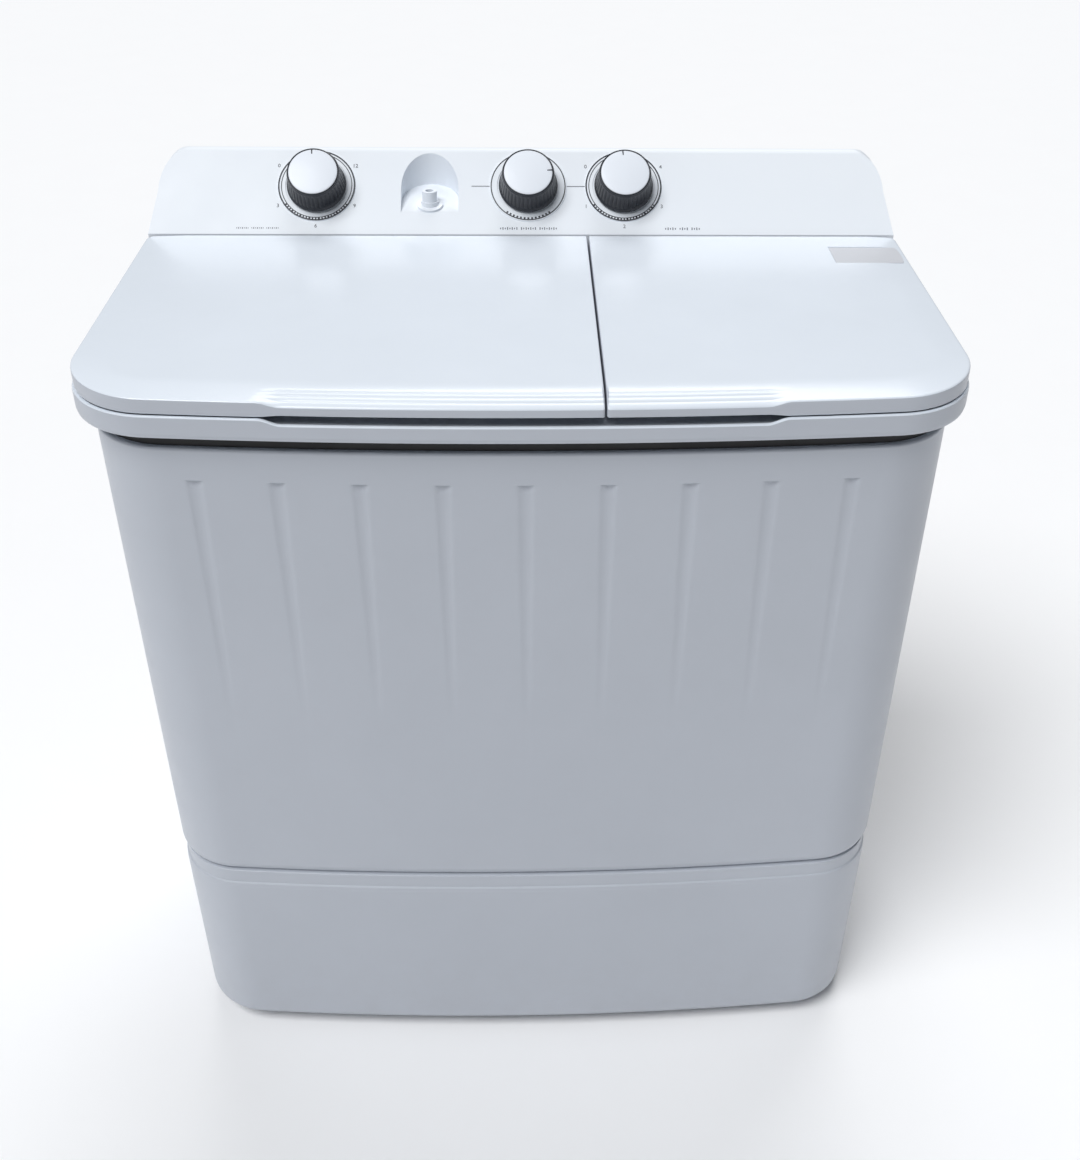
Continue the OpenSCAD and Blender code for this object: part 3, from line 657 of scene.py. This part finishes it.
def build_rim_shade_strip():
    """A black strip between the cabinet's shoulder and the rim: painted shade, standing for the shadow
    in the groove under the rim's overhang.
    """
    bottom, top = SHOULDER_Z - 2, rim_low.z + 1.5
    corners = [(5, bottom, 0.4), (5, top, 0.8), (8.9, top, 0.4), (8.9, bottom, 0.4)]
    shade_strip = shell("rim_shade_strip", cabinet_outline, fillet(corners, closed=True))
    # The black finish on this strip is painted shade for the groove under the rim, not a real seal.
    finish_piece(shade_strip, "cabinet", slot="black_rubber", stands_for=False)


build_cabinet()
build_base()
build_rim_shade_strip()


# ---- Rim and deck ----

RIM_GRIP_DROP = 5.2  # how far the rim dips in the finger grip
HINGE_FRONT = 118  # from here back the rim's wall is cut down beside the hinges
CUT_DOWN = 7
DIP_REACH = 8  # the grip's dip begins this far below the rim's top
RIM_WALL = 4
STEP_IN, STEP_OUT = GRIP_HALF - 10, GRIP_HALF + 10


def in_grip(x):
    """1 inside the finger grip, 0 outside, with a smooth step between."""
    return 1 - smoothstep(STEP_IN, STEP_OUT, abs(x))


def paint_upright_faces_in_shade(obj):
    """Painted shade: upright faces get the body's greyer plastic and the others the lids' white, so
    upright faces look shaded though lids and rim are one white plastic.
    """
    paint(obj, "lid_plastic", "body_plastic")
    for face in obj.data.polygons:
        if abs(face.normal.z) < 0.5:
            face.material_index = 1


def build_rim():
    """The rim's outer wall, which dips in the finger grip and is cut down beside the hinges."""
    panel_front = PANEL_Y - 0.5
    stops = [y + d for y in (HINGE_FRONT, panel_front) for d in (-0.1, 0.1)]
    outline = Outline(rim_high.x, rim_low.y, rim_high.y, RIM_CORNER, 42, stops)
    low, top = rim_low.z, RIM_TOP
    step = (STEP_OUT - STEP_IN) / 8
    fine = {side * (STEP_IN + k * step) for side in (-1, 1) for k in range(9)}
    corners = [(4, low, 0.6), (0.9, low, 1.2), (0, low + 4, 3), (0, top - 1.4, 1.2),
               (0.9, top, 0.6), (RIM_WALL, top, 0.8), (RIM_WALL, low + 12, 0.6), (9, low + 11, 0.6),
               (9, low + 8, 0.6), (RIM_WALL, low + 7.4, 0.6)]

    def dip(x, y, z, inset):
        """Moves a point of the wall down in the grip and beside the hinges."""
        if y < rim_low.y + 45 and z > top - DIP_REACH and inset < 4.5:
            z -= RIM_GRIP_DROP * in_grip(x) * smoothstep(top - DIP_REACH, top - 2, z)
        inside_skin = 1.3 < inset < 4.2
        if y > HINGE_FRONT and z > top - CUT_DOWN and (y > panel_front or inside_skin):
            z = top - CUT_DOWN
        return (x, y, z)

    rim = shell("rim", outline, fillet(corners, closed=True), fine, dip)
    # The rim's upright faces take painted shade.
    paint_upright_faces_in_shade(rim)
    return rim


def deck_inner():
    """The deck between the rim's walls, with both mouths, their collars and the lids' brackets."""
    outline = Outline(rim_high.x, rim_low.y, rim_high.y, RIM_CORNER, 42)
    inset = RIM_WALL + 0.6
    room = solid("room", [outline.ring(inset, z) for z in (rim_low.z + 10.5, LID_TOP + 10)])
    return bevelled(cut(detail_copy("top_deck", 0), room, operation="INTERSECT"), 0.7)


deck = join("deck_and_rim", build_rim(), deck_inner())
finish_piece(deck, "top_deck", angle=36)


# ---- Lids ----

PLATE = 3  # thickness of a lid's face
SKIRT_LOW = wash_low.z
SKIRT_BACK = 144  # behind this the lids have no skirt, so they clear the brackets
ROLL_WIDTH = 30
FRONT_ROLL = 4.6  # how far the face falls at its front edge
SIDE_ROLL = 1.6
GRIP_ROLL = 4.4  # how much more it falls in the finger grip
GRIP_WIDTH = 19
GRIP_LIFT = 1.6  # how far the skirt is lifted over the grip
RIDGES = 3
RIDGE_FIRST, RIDGE_GAP, RIDGE_HALF, RIDGE_SINK = 6.5, 5.2, 0.9, 0.55
SEAM_R = 2  # corner radius beside the seam
SEAM_STEPS = 14
# Where the face and its edge have points: (inset, drop below the top), then insets on the flat.
EDGE_STEPS = ((0, 9), (0, 4), (0, 1.6), (0.25, 0.8), (0.8, 0.25))
FACE_INSETS = (1.6, 3, 4.4, 5.4, 6, 6.5, 7, 7.6, 9, 10.6, 11.2, 11.7, 12.2, 12.8, 14.3,
               15.8, 16.4, 16.9, 17.4, 18, 21, 25, 29, 34.5)
# The same for the underside: (inset, drop below it).
UNDER_STEPS = ((34.5, 0), (25, 0), (15, 0), (8, 0), (4.2, 0.6), (3, 2.4))
lids = Outline(rim_high.x - 2, rim_low.y + 2, 150, RIM_CORNER - 2, 8)
lid_big = (lids.half ** 2 + BOW ** 2) / (2 * BOW)
lid_cx = lids.half - lids.corner
lid_cy = lids.front + lid_big - sqrt((lid_big - lids.corner) ** 2 - lid_cx ** 2)


def edge_distance(x, y):
    """Distance inwards from the lids' outer edge, and how far that edge faces the front."""
    if y < lid_cy and abs(x) > lid_cx:
        dx, dy = abs(x) - lid_cx, y - lid_cy
        far = hypot(dx, dy)
        return lids.corner - far, (-dy / far if far > 1 else 1)
    if y < lid_cy:
        return lid_big - hypot(x, y - lids.front - lid_big), 1
    return lids.half - abs(x), 0


def roll(x, y):
    """How far the lid's face falls below its flat top at x and y."""
    far, facing = edge_distance(x, y)
    near = max(0, 1 - far / ROLL_WIDTH)
    fall = (SIDE_ROLL + (FRONT_ROLL - SIDE_ROLL) * facing ** 2) * near ** 1.35
    if y < lid_cy:
        grip = in_grip(x)
        fall += grip * GRIP_ROLL * max(0, 1 - far / GRIP_WIDTH) ** 1.5
        for k in range(RIDGES):
            groove = exp(-((far - RIDGE_FIRST - RIDGE_GAP * k) / RIDGE_HALF) ** 2)
            fall += RIDGE_SINK * grip * groove
    return fall


def lid_ring(low, high, inset, z, side):
    """The outline of one lid. side is -1 if its left edge is the seam, or 1 if its right edge is."""
    slight = min(inset, 0.8) + 0.06 * inset
    half, front, back = lids.half - inset, lids.front + inset, lids.back - slight
    big = lid_big - inset
    corner, rear = lids.corner - inset, max(8 - inset, 1)
    seam_r = max(SEAM_R - slight, 0.6)
    seam = (high if side > 0 else -low) - slight
    cx, cy = half - corner, front + big - sqrt((big - corner) ** 2 - (half - corner) ** 2)
    reach = degrees(asin(cx / (big - corner)))
    seam_cx = seam - seam_r
    seam_cy = front + big - sqrt((big - seam_r) ** 2 - seam_cx ** 2)
    lean = asin(seam_cx / (big - seam_r))
    start_x, stop_x = big * sin(lean), -big * sin(radians(reach))
    xs = [start_x + (stop_x - start_x) * k / 64 for k in range(65)]
    points = [(x, front + big - sqrt(big ** 2 - x ** 2)) for x in xs]
    points += arc((-cx, cy), corner, 270 - reach, 180, 16)[1:]
    points += [(-half, cy + (back - rear - cy) * k / 10) for k in range(1, 10)]
    points += arc((rear - half, back - rear), rear, 180, 90, 6)
    rear_run = seam - seam_r + half - rear
    points += [(rear - half + rear_run * k / SEAM_STEPS, back) for k in range(1, SEAM_STEPS)]
    points += arc((seam - seam_r, back - seam_r), seam_r, 90, 0, 4)
    points += [(seam, SKIRT_BACK)]
    seam_run = back - seam_r - seam_cy
    points += [(seam, seam_cy + seam_run * (k / SEAM_STEPS) ** 2) for k in range(SEAM_STEPS - 1, 0, -1)]
    points += arc((seam_cx, seam_cy), seam_r, 0, degrees(lean) - 90, 4)[:-1]
    return [(side * x, y, z) for x, y in points]


def settle(point, z_nominal):
    """Rolls the front edge, lifts the skirt over the finger grip and leaves the rear edge bare."""
    x, y, z = point
    if y > SKIRT_BACK + 1 and z_nominal < LID_TOP - PLATE:
        return (x, y, LID_TOP - PLATE)
    grip = in_grip(x) if y < lid_cy else 0
    z -= roll(x, y) * smoothstep(SKIRT_LOW + 2, LID_TOP - 4, z)
    z += GRIP_LIFT * grip * (1 - smoothstep(SKIRT_LOW, SKIRT_LOW + 5, z_nominal))
    return (x, y, z)


def lid_shell(node, low, high, side):
    """A lid's face and skirt as one closed shell."""
    under = LID_TOP - PLATE
    upper = [(0, SKIRT_LOW + 0.8)] + [(inset, LID_TOP - drop) for inset, drop in EDGE_STEPS]
    upper += [(inset, LID_TOP) for inset in FACE_INSETS]
    lower = [(inset, under - drop) for inset, drop in UNDER_STEPS]
    lower += [(2.7, SKIRT_LOW + 1), (2.3, SKIRT_LOW), (0.7, SKIRT_LOW)]
    rings = [[settle(p, z) for p in lid_ring(low.x, high.x, inset, z, side)]
             for inset, z in upper + lower]
    return mesh_piece(node + "_shell", *floored(rings, len(upper) - 1))


def hinge_boss(x, top):
    """One hinge eye under a lid, with the web that carries it."""
    wide = 11
    boss = rod("boss", (x, HINGE_Y, HINGE_Z), (x + wide, HINGE_Y, HINGE_Z), 5, 32)
    web = block("web", (x, HINGE_Y - 5, HINGE_Z), (x + wide, HINGE_Y + 5, top))
    for piece in (boss, web):
        cut(piece, rod("bore", (x - 1, HINGE_Y, HINGE_Z), (x + wide + 1, HINGE_Y, HINGE_Z), 2.55, 24))
    return [bevelled(boss, 0.5), web]


def build_lid(node, side, boss_x):
    """A lid with its skirt, the ribs under it and its hinge eyes."""
    low, high = span(node)
    lid = lid_shell(node, low, high, side)
    # The lid's upright faces take painted shade.
    paint_upright_faces_in_shade(lid)
    parts = []
    rib_low, rib_top = LID_TOP - PLATE - 6.5, LID_TOP - PLATE + 0.5
    for k in range(1, 4):
        x = low.x + (high.x - low.x) * k / 4
        parts.append(block("rib", (x - 1, low.y + 38, rib_low), (x + 1, high.y - 6, rib_top), 0.6))
    for y in (-110, 0, 110):
        parts.append(block("rib", (low.x + 6, y - 1, rib_low), (high.x - 6, y + 1, rib_top), 0.6))
    for x in boss_x:
        parts += hinge_boss(x, rib_top)
    for part in parts:
        paint(part, "lid_plastic")
    return join(node + "_shell", lid, *parts)


wash_lid = build_lid("wash_lid", 1, (-385, 50.5))
finish_piece(wash_lid, "wash_lid", angle=32, flat=False)

spin_lid = build_lid("spin_lid", -1, (75.5, 374))
plate_low, plate_high = span("spin_lid_plate")


def plate_outline(grow, z):
    """The plate's shape: straight on the left, curved on the right beside the lid's edge."""
    x0, y0 = plate_low.x - grow, plate_low.y - grow
    x1, y1 = plate_high.x + grow, plate_high.y + grow
    bulge = [4 * (1 - sin(pi * k / 8)) ** 2 * 0.6 for k in range(9)]
    right = [(x1 - b, y0 + (y1 - y0) * k / 8) for k, b in enumerate(bulge)]
    corners = [(x0 + 1, y0)] + right + [(x0 + 1, y1), (x0, y1 - 1), (x0, y0 + 1)]
    return [(x, y, z) for x, y in corners]


def plate_block(name, grow, low, high):
    """A solid with the plate's outline."""
    return solid(name, [plate_outline(grow, low), plate_outline(grow, high)])


cut(spin_lid, plate_block("recess", 0.6, plate_low.z, LID_TOP + 3))
finish_piece(spin_lid, "spin_lid", angle=32, flat=False)
plate = plate_block("spin_lid_label_plate", -0.4, plate_low.z - 0.2, plate_high.z - 0.1)
finish_piece(bevelled(plate, 0.25), "spin_lid_plate")


# ---- Control panel ----

keep_shape("control_panel", 1.4, 3, smooth=40)

BEZEL = 0.9  # height of the bezels, which carry the rings and ticks
TICK_TOP = BEZEL + 0.11
NUMERAL_R = 47.5
TIMERS = (("wash_timer", ("0", "3", "6", "9", "12")), ("spin_timer", ("0", "1", "2", "3", "4")))
dial_x = {name: centre_of(name + "_cap").x for name in ("wash_timer", "selector", "spin_timer")}


def on_face(obj, x, up=KNOB_UP):
    """Moves a part made flat onto the sloped face, where its Y runs up the slope."""
    place = Vector((x, PANEL_Y + up * cos(SLOPE), LID_TOP + up * sin(SLOPE))) * MM
    obj.data.transform(Matrix.Translation(place) @ Matrix.Rotation(SLOPE, 4, "X"))
    return obj


def ring_print(radius, width, steps=72):
    """A printed ring with a little thickness, on a bezel."""
    inner, outer = radius - width / 2, radius + width / 2
    low, high = 0.7, BEZEL + 0.1
    rings = []
    for k in range(steps):
        a = radians(360 * k / steps)
        c, s = cos(a), sin(a)
        rings.append([(inner * c, inner * s, low), (outer * c, outer * s, low),
                      (outer * c, outer * s, high), (inner * c, inner * s, high)])
    return mesh_piece("print", *loft(rings, closed=True))


def bar_print(x, y, wide, tall, thick=0.12):
    """A printed bar round the point x, y of the face."""
    return block("print", (x - wide / 2, y - tall / 2, -0.1), (x + wide / 2, y + tall / 2, thick))


def number_print(text, x, y, size):
    """A numeral laid flat on the face."""
    data = bpy.data.curves.new("numeral", "FONT")
    data.body = text
    data.size = size * MM
    data.extrude = 0.1 * MM
    data.align_x, data.align_y = "CENTER", "CENTER"
    data.resolution_u = 3
    obj = new_object("numeral", data)
    obj.location = (x * MM, y * MM, 0.02 * MM)
    bpy.context.view_layer.update()
    graph = bpy.context.evaluated_depsgraph_get()
    mesh = bpy.data.meshes.new_from_object(obj.evaluated_get(graph))
    mesh.transform(obj.matrix_world)
    bpy.data.objects.remove(obj)
    return new_object("numeral", mesh)


def radial_bar(radius, bearing, length, wide):
    """A tick on a bezel, pointing at the dial's centre."""
    bar = bar_print(radius, 0, length, wide, TICK_TOP)
    bar.data.transform(Matrix.Rotation(radians(bearing), 4, "Z"))
    return bar


def timer_prints(marks):
    """A timer's two rings, its ticks and its five numerals."""
    parts = [ring_print(40.8, 1.6), ring_print(37.9, 0.9)]
    for k in range(23):
        length, wide = 2.9 if k % 2 else 2.3, 1.4 if k % 3 else 2.1
        parts.append(radial_bar(39.5, -145 + 5 * k, length, wide))
    for k, mark in enumerate(marks):
        a = radians(150 + 60 * k)
        parts.append(number_print(mark, NUMERAL_R * cos(a), NUMERAL_R * sin(a), 6))
    return parts


def word_bars():
    """Rows of short bars under the dials, where the printed words would be."""
    rows = ((dial_x["wash_timer"] - 62, 23, 2, 1.8), (dial_x["selector"], 25, 2.5, 3),
            (dial_x["spin_timer"] + 63, 15, 2.6, 3))
    bars = []
    for centre, count, gap, tall in rows:
        for k in range(count):
            if k not in (count // 3, 2 * count // 3):
                height = tall * (1 if k % 2 else 0.6)
                bar = bar_print((k - count / 2 + 0.5) * gap, 7, gap * 0.42, height)
                bars.append(on_face(bar, centre, 0))
    return bars


def build_dial_prints():
    """What is printed round each dial. It lies on the panel and doesn't turn."""
    inked = [on_face(p, dial_x[name]) for name, marks in TIMERS for p in timer_prints(marks)]
    x = dial_x["selector"]
    ring = [ring_print(40.2, 1.2)] + [radial_bar(38.4, -126 + 6 * k, 2, 2) for k in range(13)]
    inked += [on_face(p, x) for p in ring]
    pale = [on_face(bar_print(side * 51.5, 0, 20, 0.8), x) for side in (-1, 1)]
    pale += word_bars()
    for part in inked:
        paint(part, "print_ink")
    for part in pale:
        paint(part, "print_grey")
    prints = join("dial_prints", *inked, *pale)
    finish_piece(prints, "dial_rings", slot="dark_plastic", stands_for=False, angle=30)


def build_dial_ring(name):
    """The raised bezel round a knob."""
    corners = [(33.5, -0.2, 0), (42, -0.2, 0), (41.9, BEZEL, 0.4), (33.7, BEZEL, 0.3)]
    return on_face(turned("bezel", fillet(corners, closed=True), (0, 0), 96), dial_x[name])


bezels = join("dial_bezels", *[build_dial_ring(n) for n in dial_x])
paint(bezels, "panel_plastic")
finish_piece(bezels, "dial_rings")
build_dial_prints()


# ---- Knobs ----

SKIRT_RIBS = 40
# A knob's skirt from the inside out and over its top: (radius, height, depth of the grooves).
SKIRT_LEVELS = ((6, 6, 0), (26, 6, 0), (28.4, 2, 0), (31.4, 2, 0), (32, 2.6, 0),
                (31.9, 3.4, 0), (31.2, 4.2, 0), (30.6, 4.9, 0), (30.4, 5.6, 0.1), (30.2, 6.8, 0.8),
                (28.6, 22.5, 0.8), (28.3, 25.2, 0.5), (28.2, 26.2, 0), (28.1, 27.4, 0),
                (27.7, 28.2, 0), (26.95, 28.2, 0), (26.75, 27.6, 0), (26.75, 24.5, 0),
                (0.01, 24.5, 0))


def ribbed_circle(radius, z, depth, steps):
    """A level circle with narrow grooves in it."""
    points = []
    for k in range(steps):
        a = tau * k / steps
        r = radius - depth * smoothstep(-0.2, 0.9, cos(SKIRT_RIBS * a))
        points.append((r * cos(a), r * sin(a), z))
    return points


def build_knob(name):
    """A knob's dark ribbed skirt, the rim round its cap and the stub that enters the panel."""
    node = name + "_knob"
    rings = [ribbed_circle(r, z, depth, SKIRT_RIBS * 8) for r, z, depth in SKIRT_LEVELS]
    skirt = mesh_piece("skirt", *loft(rings, cap_first=True))
    stub = turned("stub", fillet([(0.01, -26, 0), (3, -26, 0.6), (3, 6.5, 0), (0.01, 6.5, 0)]),
                  (0, 0), 24, False)
    rim = turned("rim", fillet([(26.7, 28, 0), (27.6, 28.1, 0.3), (27.4, 29.7, 0.7),
                                (26.3, 30.3, 0.4), (25.8, 29.4, 0)], closed=True), (0, 0), 96)
    knob = on_face(join(node + "_part", skirt, stub, rim), dial_x[name])
    paint(knob, "dark_plastic")
    finish_piece(knob, node, angle=42)


def build_cap(name, turn):
    """A knob's pale domed cap with its pointer line, turned by some degrees."""
    dome = [(26.6, 25), (26.6, 28.6), (26.1, 29.3), (25.6, 29.7)]
    dome += [(25.2 * (1 - (k / 8) ** 1.2), 29.9 + 1.4 * sin(pi / 2 * k / 8)) for k in range(8)]
    cap = turned("cap", [(0.01, 25)] + dome + [(0.01, 31.3)], (0, 0), 96, False)
    paint(cap, "cap_plastic")
    pointer = block("pointer", (-0.6, 20.4, 28.6), (0.6, 26.4, 30.6), 0.2)
    paint(pointer, "print_ink")
    cap = join(name + "_cap_part", cap, pointer)
    cap.data.transform(Matrix.Rotation(radians(turn), 4, "Z"))
    finish_piece(on_face(cap, dial_x[name]), name + "_cap", angle=42)


for knob_name, knob_turn in (("wash_timer", 4), ("selector", -84), ("spin_timer", 5)):
    build_knob(knob_name)
    build_cap(knob_name, knob_turn)


# ---- Inlet nozzle ----

keep_shape("inlet_nozzle", 0.8)


# ---- Tubs and what turns in them ----

def round_rectangle(centre, half_x, half_y, radius, z):
    """Points of a level rectangle with round corners."""
    points = []
    for sx, sy, start in ((1, -1, -90), (1, 1, 0), (-1, 1, 90), (-1, -1, 180)):
        middle = (centre[0] + sx * (half_x - radius), centre[1] + sy * (half_y - radius))
        points += arc(middle, radius, start, start + 90, 12)
    return [(x, y, z) for x, y in points]


def build_wash_tub():
    """A deep moulded tub with a rounded floor edge and a flange under the deck."""
    low, high = span("wash_tub")
    half_x, half_y, corner = 212, 186, 90
    bottom, floor, top = low.z, low.z + 4, high.z
    outer = fillet([(-6, top, 0), (-6, top - 4, 1), (0, top - 4, 2), (3, bottom, 22),
                    (60, bottom, 0)])
    inner = fillet([(60, floor, 0), (6, floor, 24), (3, top - 1, 1), (0, top, 1),
                    (-6, top, 0)])
    rings = []
    for inset, z in outer + inner:
        grow_y = inset if inset >= 0 else inset / 2
        radius = max(corner - inset, 8)
        rings.append(round_rectangle(wash_c, half_x - inset, half_y - grow_y, radius, z))
    tub = mesh_piece("wash_tub_shell", *floored(rings, len(outer) - 1))
    bores = [rod("bore", (x, y, bottom - 5), (x, y, bottom + 12), radius, 48)
             for x, y, radius in ((wash_c.x, wash_c.y, 16), (25, 60, 14))]
    channel_low, channel_high = span("inlet_channel")
    notch = block("notch", (channel_low.x - 0.3, 146, channel_low.z - 0.3),
                  (channel_high.x + 0.3, 174, channel_low.z + 26.3))
    cut(tub, *bores, notch)
    finish_piece(tub, "wash_tub", angle=36)


def pulsator_height(share, angle, low, high):
    """Height of the pulsator's face, where share is the distance from its axis over its radius."""
    blades = 5
    dish = low + 9.5 + 12 * (1 - smoothstep(0.15, 0.95, share))
    hub = 13 * (1 - smoothstep(0.10, 0.27, share))
    wave = cos(blades * (angle + 0.9 * share ** 1.4))
    blade = (11 * smoothstep(0.78, 1, wave) * smoothstep(0.16, 0.3, share)
             * (1 - smoothstep(0.74, 0.9, share)))
    edge = 3 * smoothstep(0.955, 1, share)
    return min(dish + hub + blade - edge, high - 0.2)


def build_pulsator():
    """A dished disc with five curved blades and a raised hub."""
    low, high = span("pulsator")
    radius = (high.x - low.x) / 2
    steps = 200
    face = (0.01, 6, 12, 20, 28, 34, 40, 48, 58, 70, 82, 94, 106, 118, 128, 136, 143, 148, 152,
            radius - 1, radius)
    rings = []
    for r in face:
        ring = circle(wash_c, r, 0, steps)
        rings.append([(x, y, pulsator_height(r / radius, tau * k / steps, low.z, high.z))
                      for k, (x, y, z) in enumerate(ring)])
    under = ((radius, low.z + 2), (radius - 1.5, low.z), (radius - 6, low.z), (7.2, low.z))
    rings += [circle(wash_c, r, z, steps) for r, z in under]
    disc = mesh_piece("pulsator_disc", *loft(rings, cap_last=True))
    finish_piece(disc, "pulsator", angle=50, flat=False)


HOLE_SIDES = 12


def perforated_wall(name, centre, radius, wall, bottom, top, columns, rows, hole_r):
    """A round wall with rows of round holes, made of square cells with a hole in each."""
    half_a, half_z = tau / columns / 2, (top - bottom) / rows / 2
    points, faces = [], []

    def add(angle, z, r):
        """Adds a point and returns its number."""
        points.append((centre.x + r * cos(angle), centre.y + r * sin(angle), z))
        return len(points) - 1

    def layer(am, zm, r):
        """One face of a cell, with its middle at angle am and height zm. Returns its hole's points."""
        border, hole = [], []
        for side in range(HOLE_SIDES):
            t = tau * (side + 0.5) / HOLE_SIDES
            c, s = cos(t), sin(t)
            big = max(abs(c), abs(s))
            border.append(add(am + half_a * c / big, zm + half_z * s / big, r))
            hole.append(add(am + hole_r / r * c, zm + hole_r * s, r))
        corners = [add(am + half_a * a, zm + half_z * b, r)
                   for a, b in ((1, 1), (-1, 1), (-1, -1), (1, -1))]
        for side in range(HOLE_SIDES):
            n = (side + 1) % HOLE_SIDES
            faces.append((border[side], border[n], hole[n], hole[side]))
        for q, corner in enumerate(corners):
            side = 3 * q + 1
            faces.append((border[side], corner, border[(side + 1) % HOLE_SIDES]))
        return hole

    for row in range(rows):
        for col in range(columns):
            am, zm = (2 * col + 1) * half_a, bottom + (2 * row + 1) * half_z
            outer, inner = layer(am, zm, radius), layer(am, zm, radius - wall)
            for side in range(HOLE_SIDES):
                n = (side + 1) % HOLE_SIDES
                faces.append((outer[side], outer[n], inner[n], inner[side]))
    return mesh_piece(name, points, faces)


def build_spin_basket():
    """The perforated spin basket: a thin wall with real holes, a rolled mouth and a hub cone."""
    low, high = span("spin_basket")
    outer_r, wall = 118, 2
    inner_r = outer_r - wall
    bottom, top = low.z + 20, high.z - 18
    foot, floor, rim = low.z + 0.5, low.z + 8, high.z
    barrel = perforated_wall("barrel", spin_c, outer_r, wall, bottom, top, 40, 11, 3.4)
    floor_profile = fillet([(outer_r, bottom, 0), (outer_r, floor + 8, 4), (outer_r - 8, floor, 6),
                            (34, floor, 3), (28, foot, 2), (8.2, foot, 1), (8.2, floor + 24, 1.5),
                            (19, floor + 24, 3), (31, floor + 4, 6), (outer_r - 10, floor + 4, 6),
                            (inner_r, floor + 11, 5), (inner_r, bottom, 0)])
    mouth_profile = fillet([(inner_r, top, 0), (inner_r, rim - 11, 4), (89, rim - 4, 3),
                            (88.5, rim - 1, 1), (92, rim - 0.5, 1.5), (outer_r - 2, rim - 0.8, 4),
                            (outer_r + 2.6, rim - 6, 2), (outer_r, rim - 10, 2), (outer_r, top, 0)])
    ends = [turned("end", profile, spin_c, 120, False) for profile in (floor_profile, mouth_profile)]
    basket = join("spin_basket_part", barrel, *ends)
    repair(basket.data)
    finish_piece(basket, "spin_basket", angle=42)


build_wash_tub()
build_pulsator()
build_spin_basket()


# ---- Pieces whose CAD shape is already right ----

edge_width = dict(
    feet=1.2, panel_rear_cover=0.5, rear_service_cover=0.6, service_screws=0.35, spin_outer_tub=1.2,
    overflow_cover=0.8, lint_filter=0.7, inlet_channel=0.8, wash_bearing_housing=1.5,
    wash_shaft_seal=0.5, wash_motor=2, wash_motor_bracket=0.8, drive_belt=0.8, spin_motor=1.6,
    spin_motor_stand=0.8, spin_motor_springs=0, spin_motor_pads=1.2, spin_bellows=0.6, brake_plate=0.6,
    brake_cable=0, drain_valve_box=1.2, drain_hose=0, spin_drain_hose=0, drain_outlet=0.8,
    drain_pull_cable=0, wash_timer=0.8, selector_switch=0.8, spin_timer=0.8, motor_capacitors=1.5,
    wiring_loom=0, cord_gland=0.8, lid_hinge_pins=0.4, spin_inner_lid=0.9, pulsator_screw=0.8,
    wash_shaft=0.6, wash_pulley=0.8, wash_motor_shaft=0.6, wash_motor_pulley=0.6, spin_shaft=0.6,
    brake_drum=0.8, brake_lever=0.8, valve_plunger=0.5,
)
for node_name, edge in edge_width.items():
    keep_shape(node_name, edge)


# ---- Stage and light ----

def add_floor():
    """A wide pale floor under the machine."""
    floor = block("stage_floor", (-9000, -6000, -20), (9000, 12000, 0))
    paint(floor, "floor")


def add_sun(name, direction, strength, softness, tint=(1, 1, 1)):
    """A soft distant light that shines from a direction."""
    data = bpy.data.lights.new(name, "SUN")
    data.energy = strength
    data.angle = radians(softness)
    data.color = tint
    lamp = new_object(name, data)
    lamp.rotation_euler = Vector(direction).to_track_quat("Z", "Y").to_euler()


def add_world():
    """An even, slightly blue sky."""
    world = bpy.data.worlds.new("studio")
    world.use_nodes = True
    sky = world.node_tree.nodes["Background"]
    sky.inputs["Color"].default_value = (0.90, 0.95, 1.0, 1.0)
    sky.inputs["Strength"].default_value = 0.14
    bpy.context.scene.world = world


add_floor()
add_world()
add_sun("key", (-0.42, -0.44, 1.0), 2.2, 34, (0.985, 0.993, 1.0))
add_sun("back", (0.08, 0.62, 1.0), 1.1, 34)
bpy.context.scene.view_settings.view_transform = "Standard"
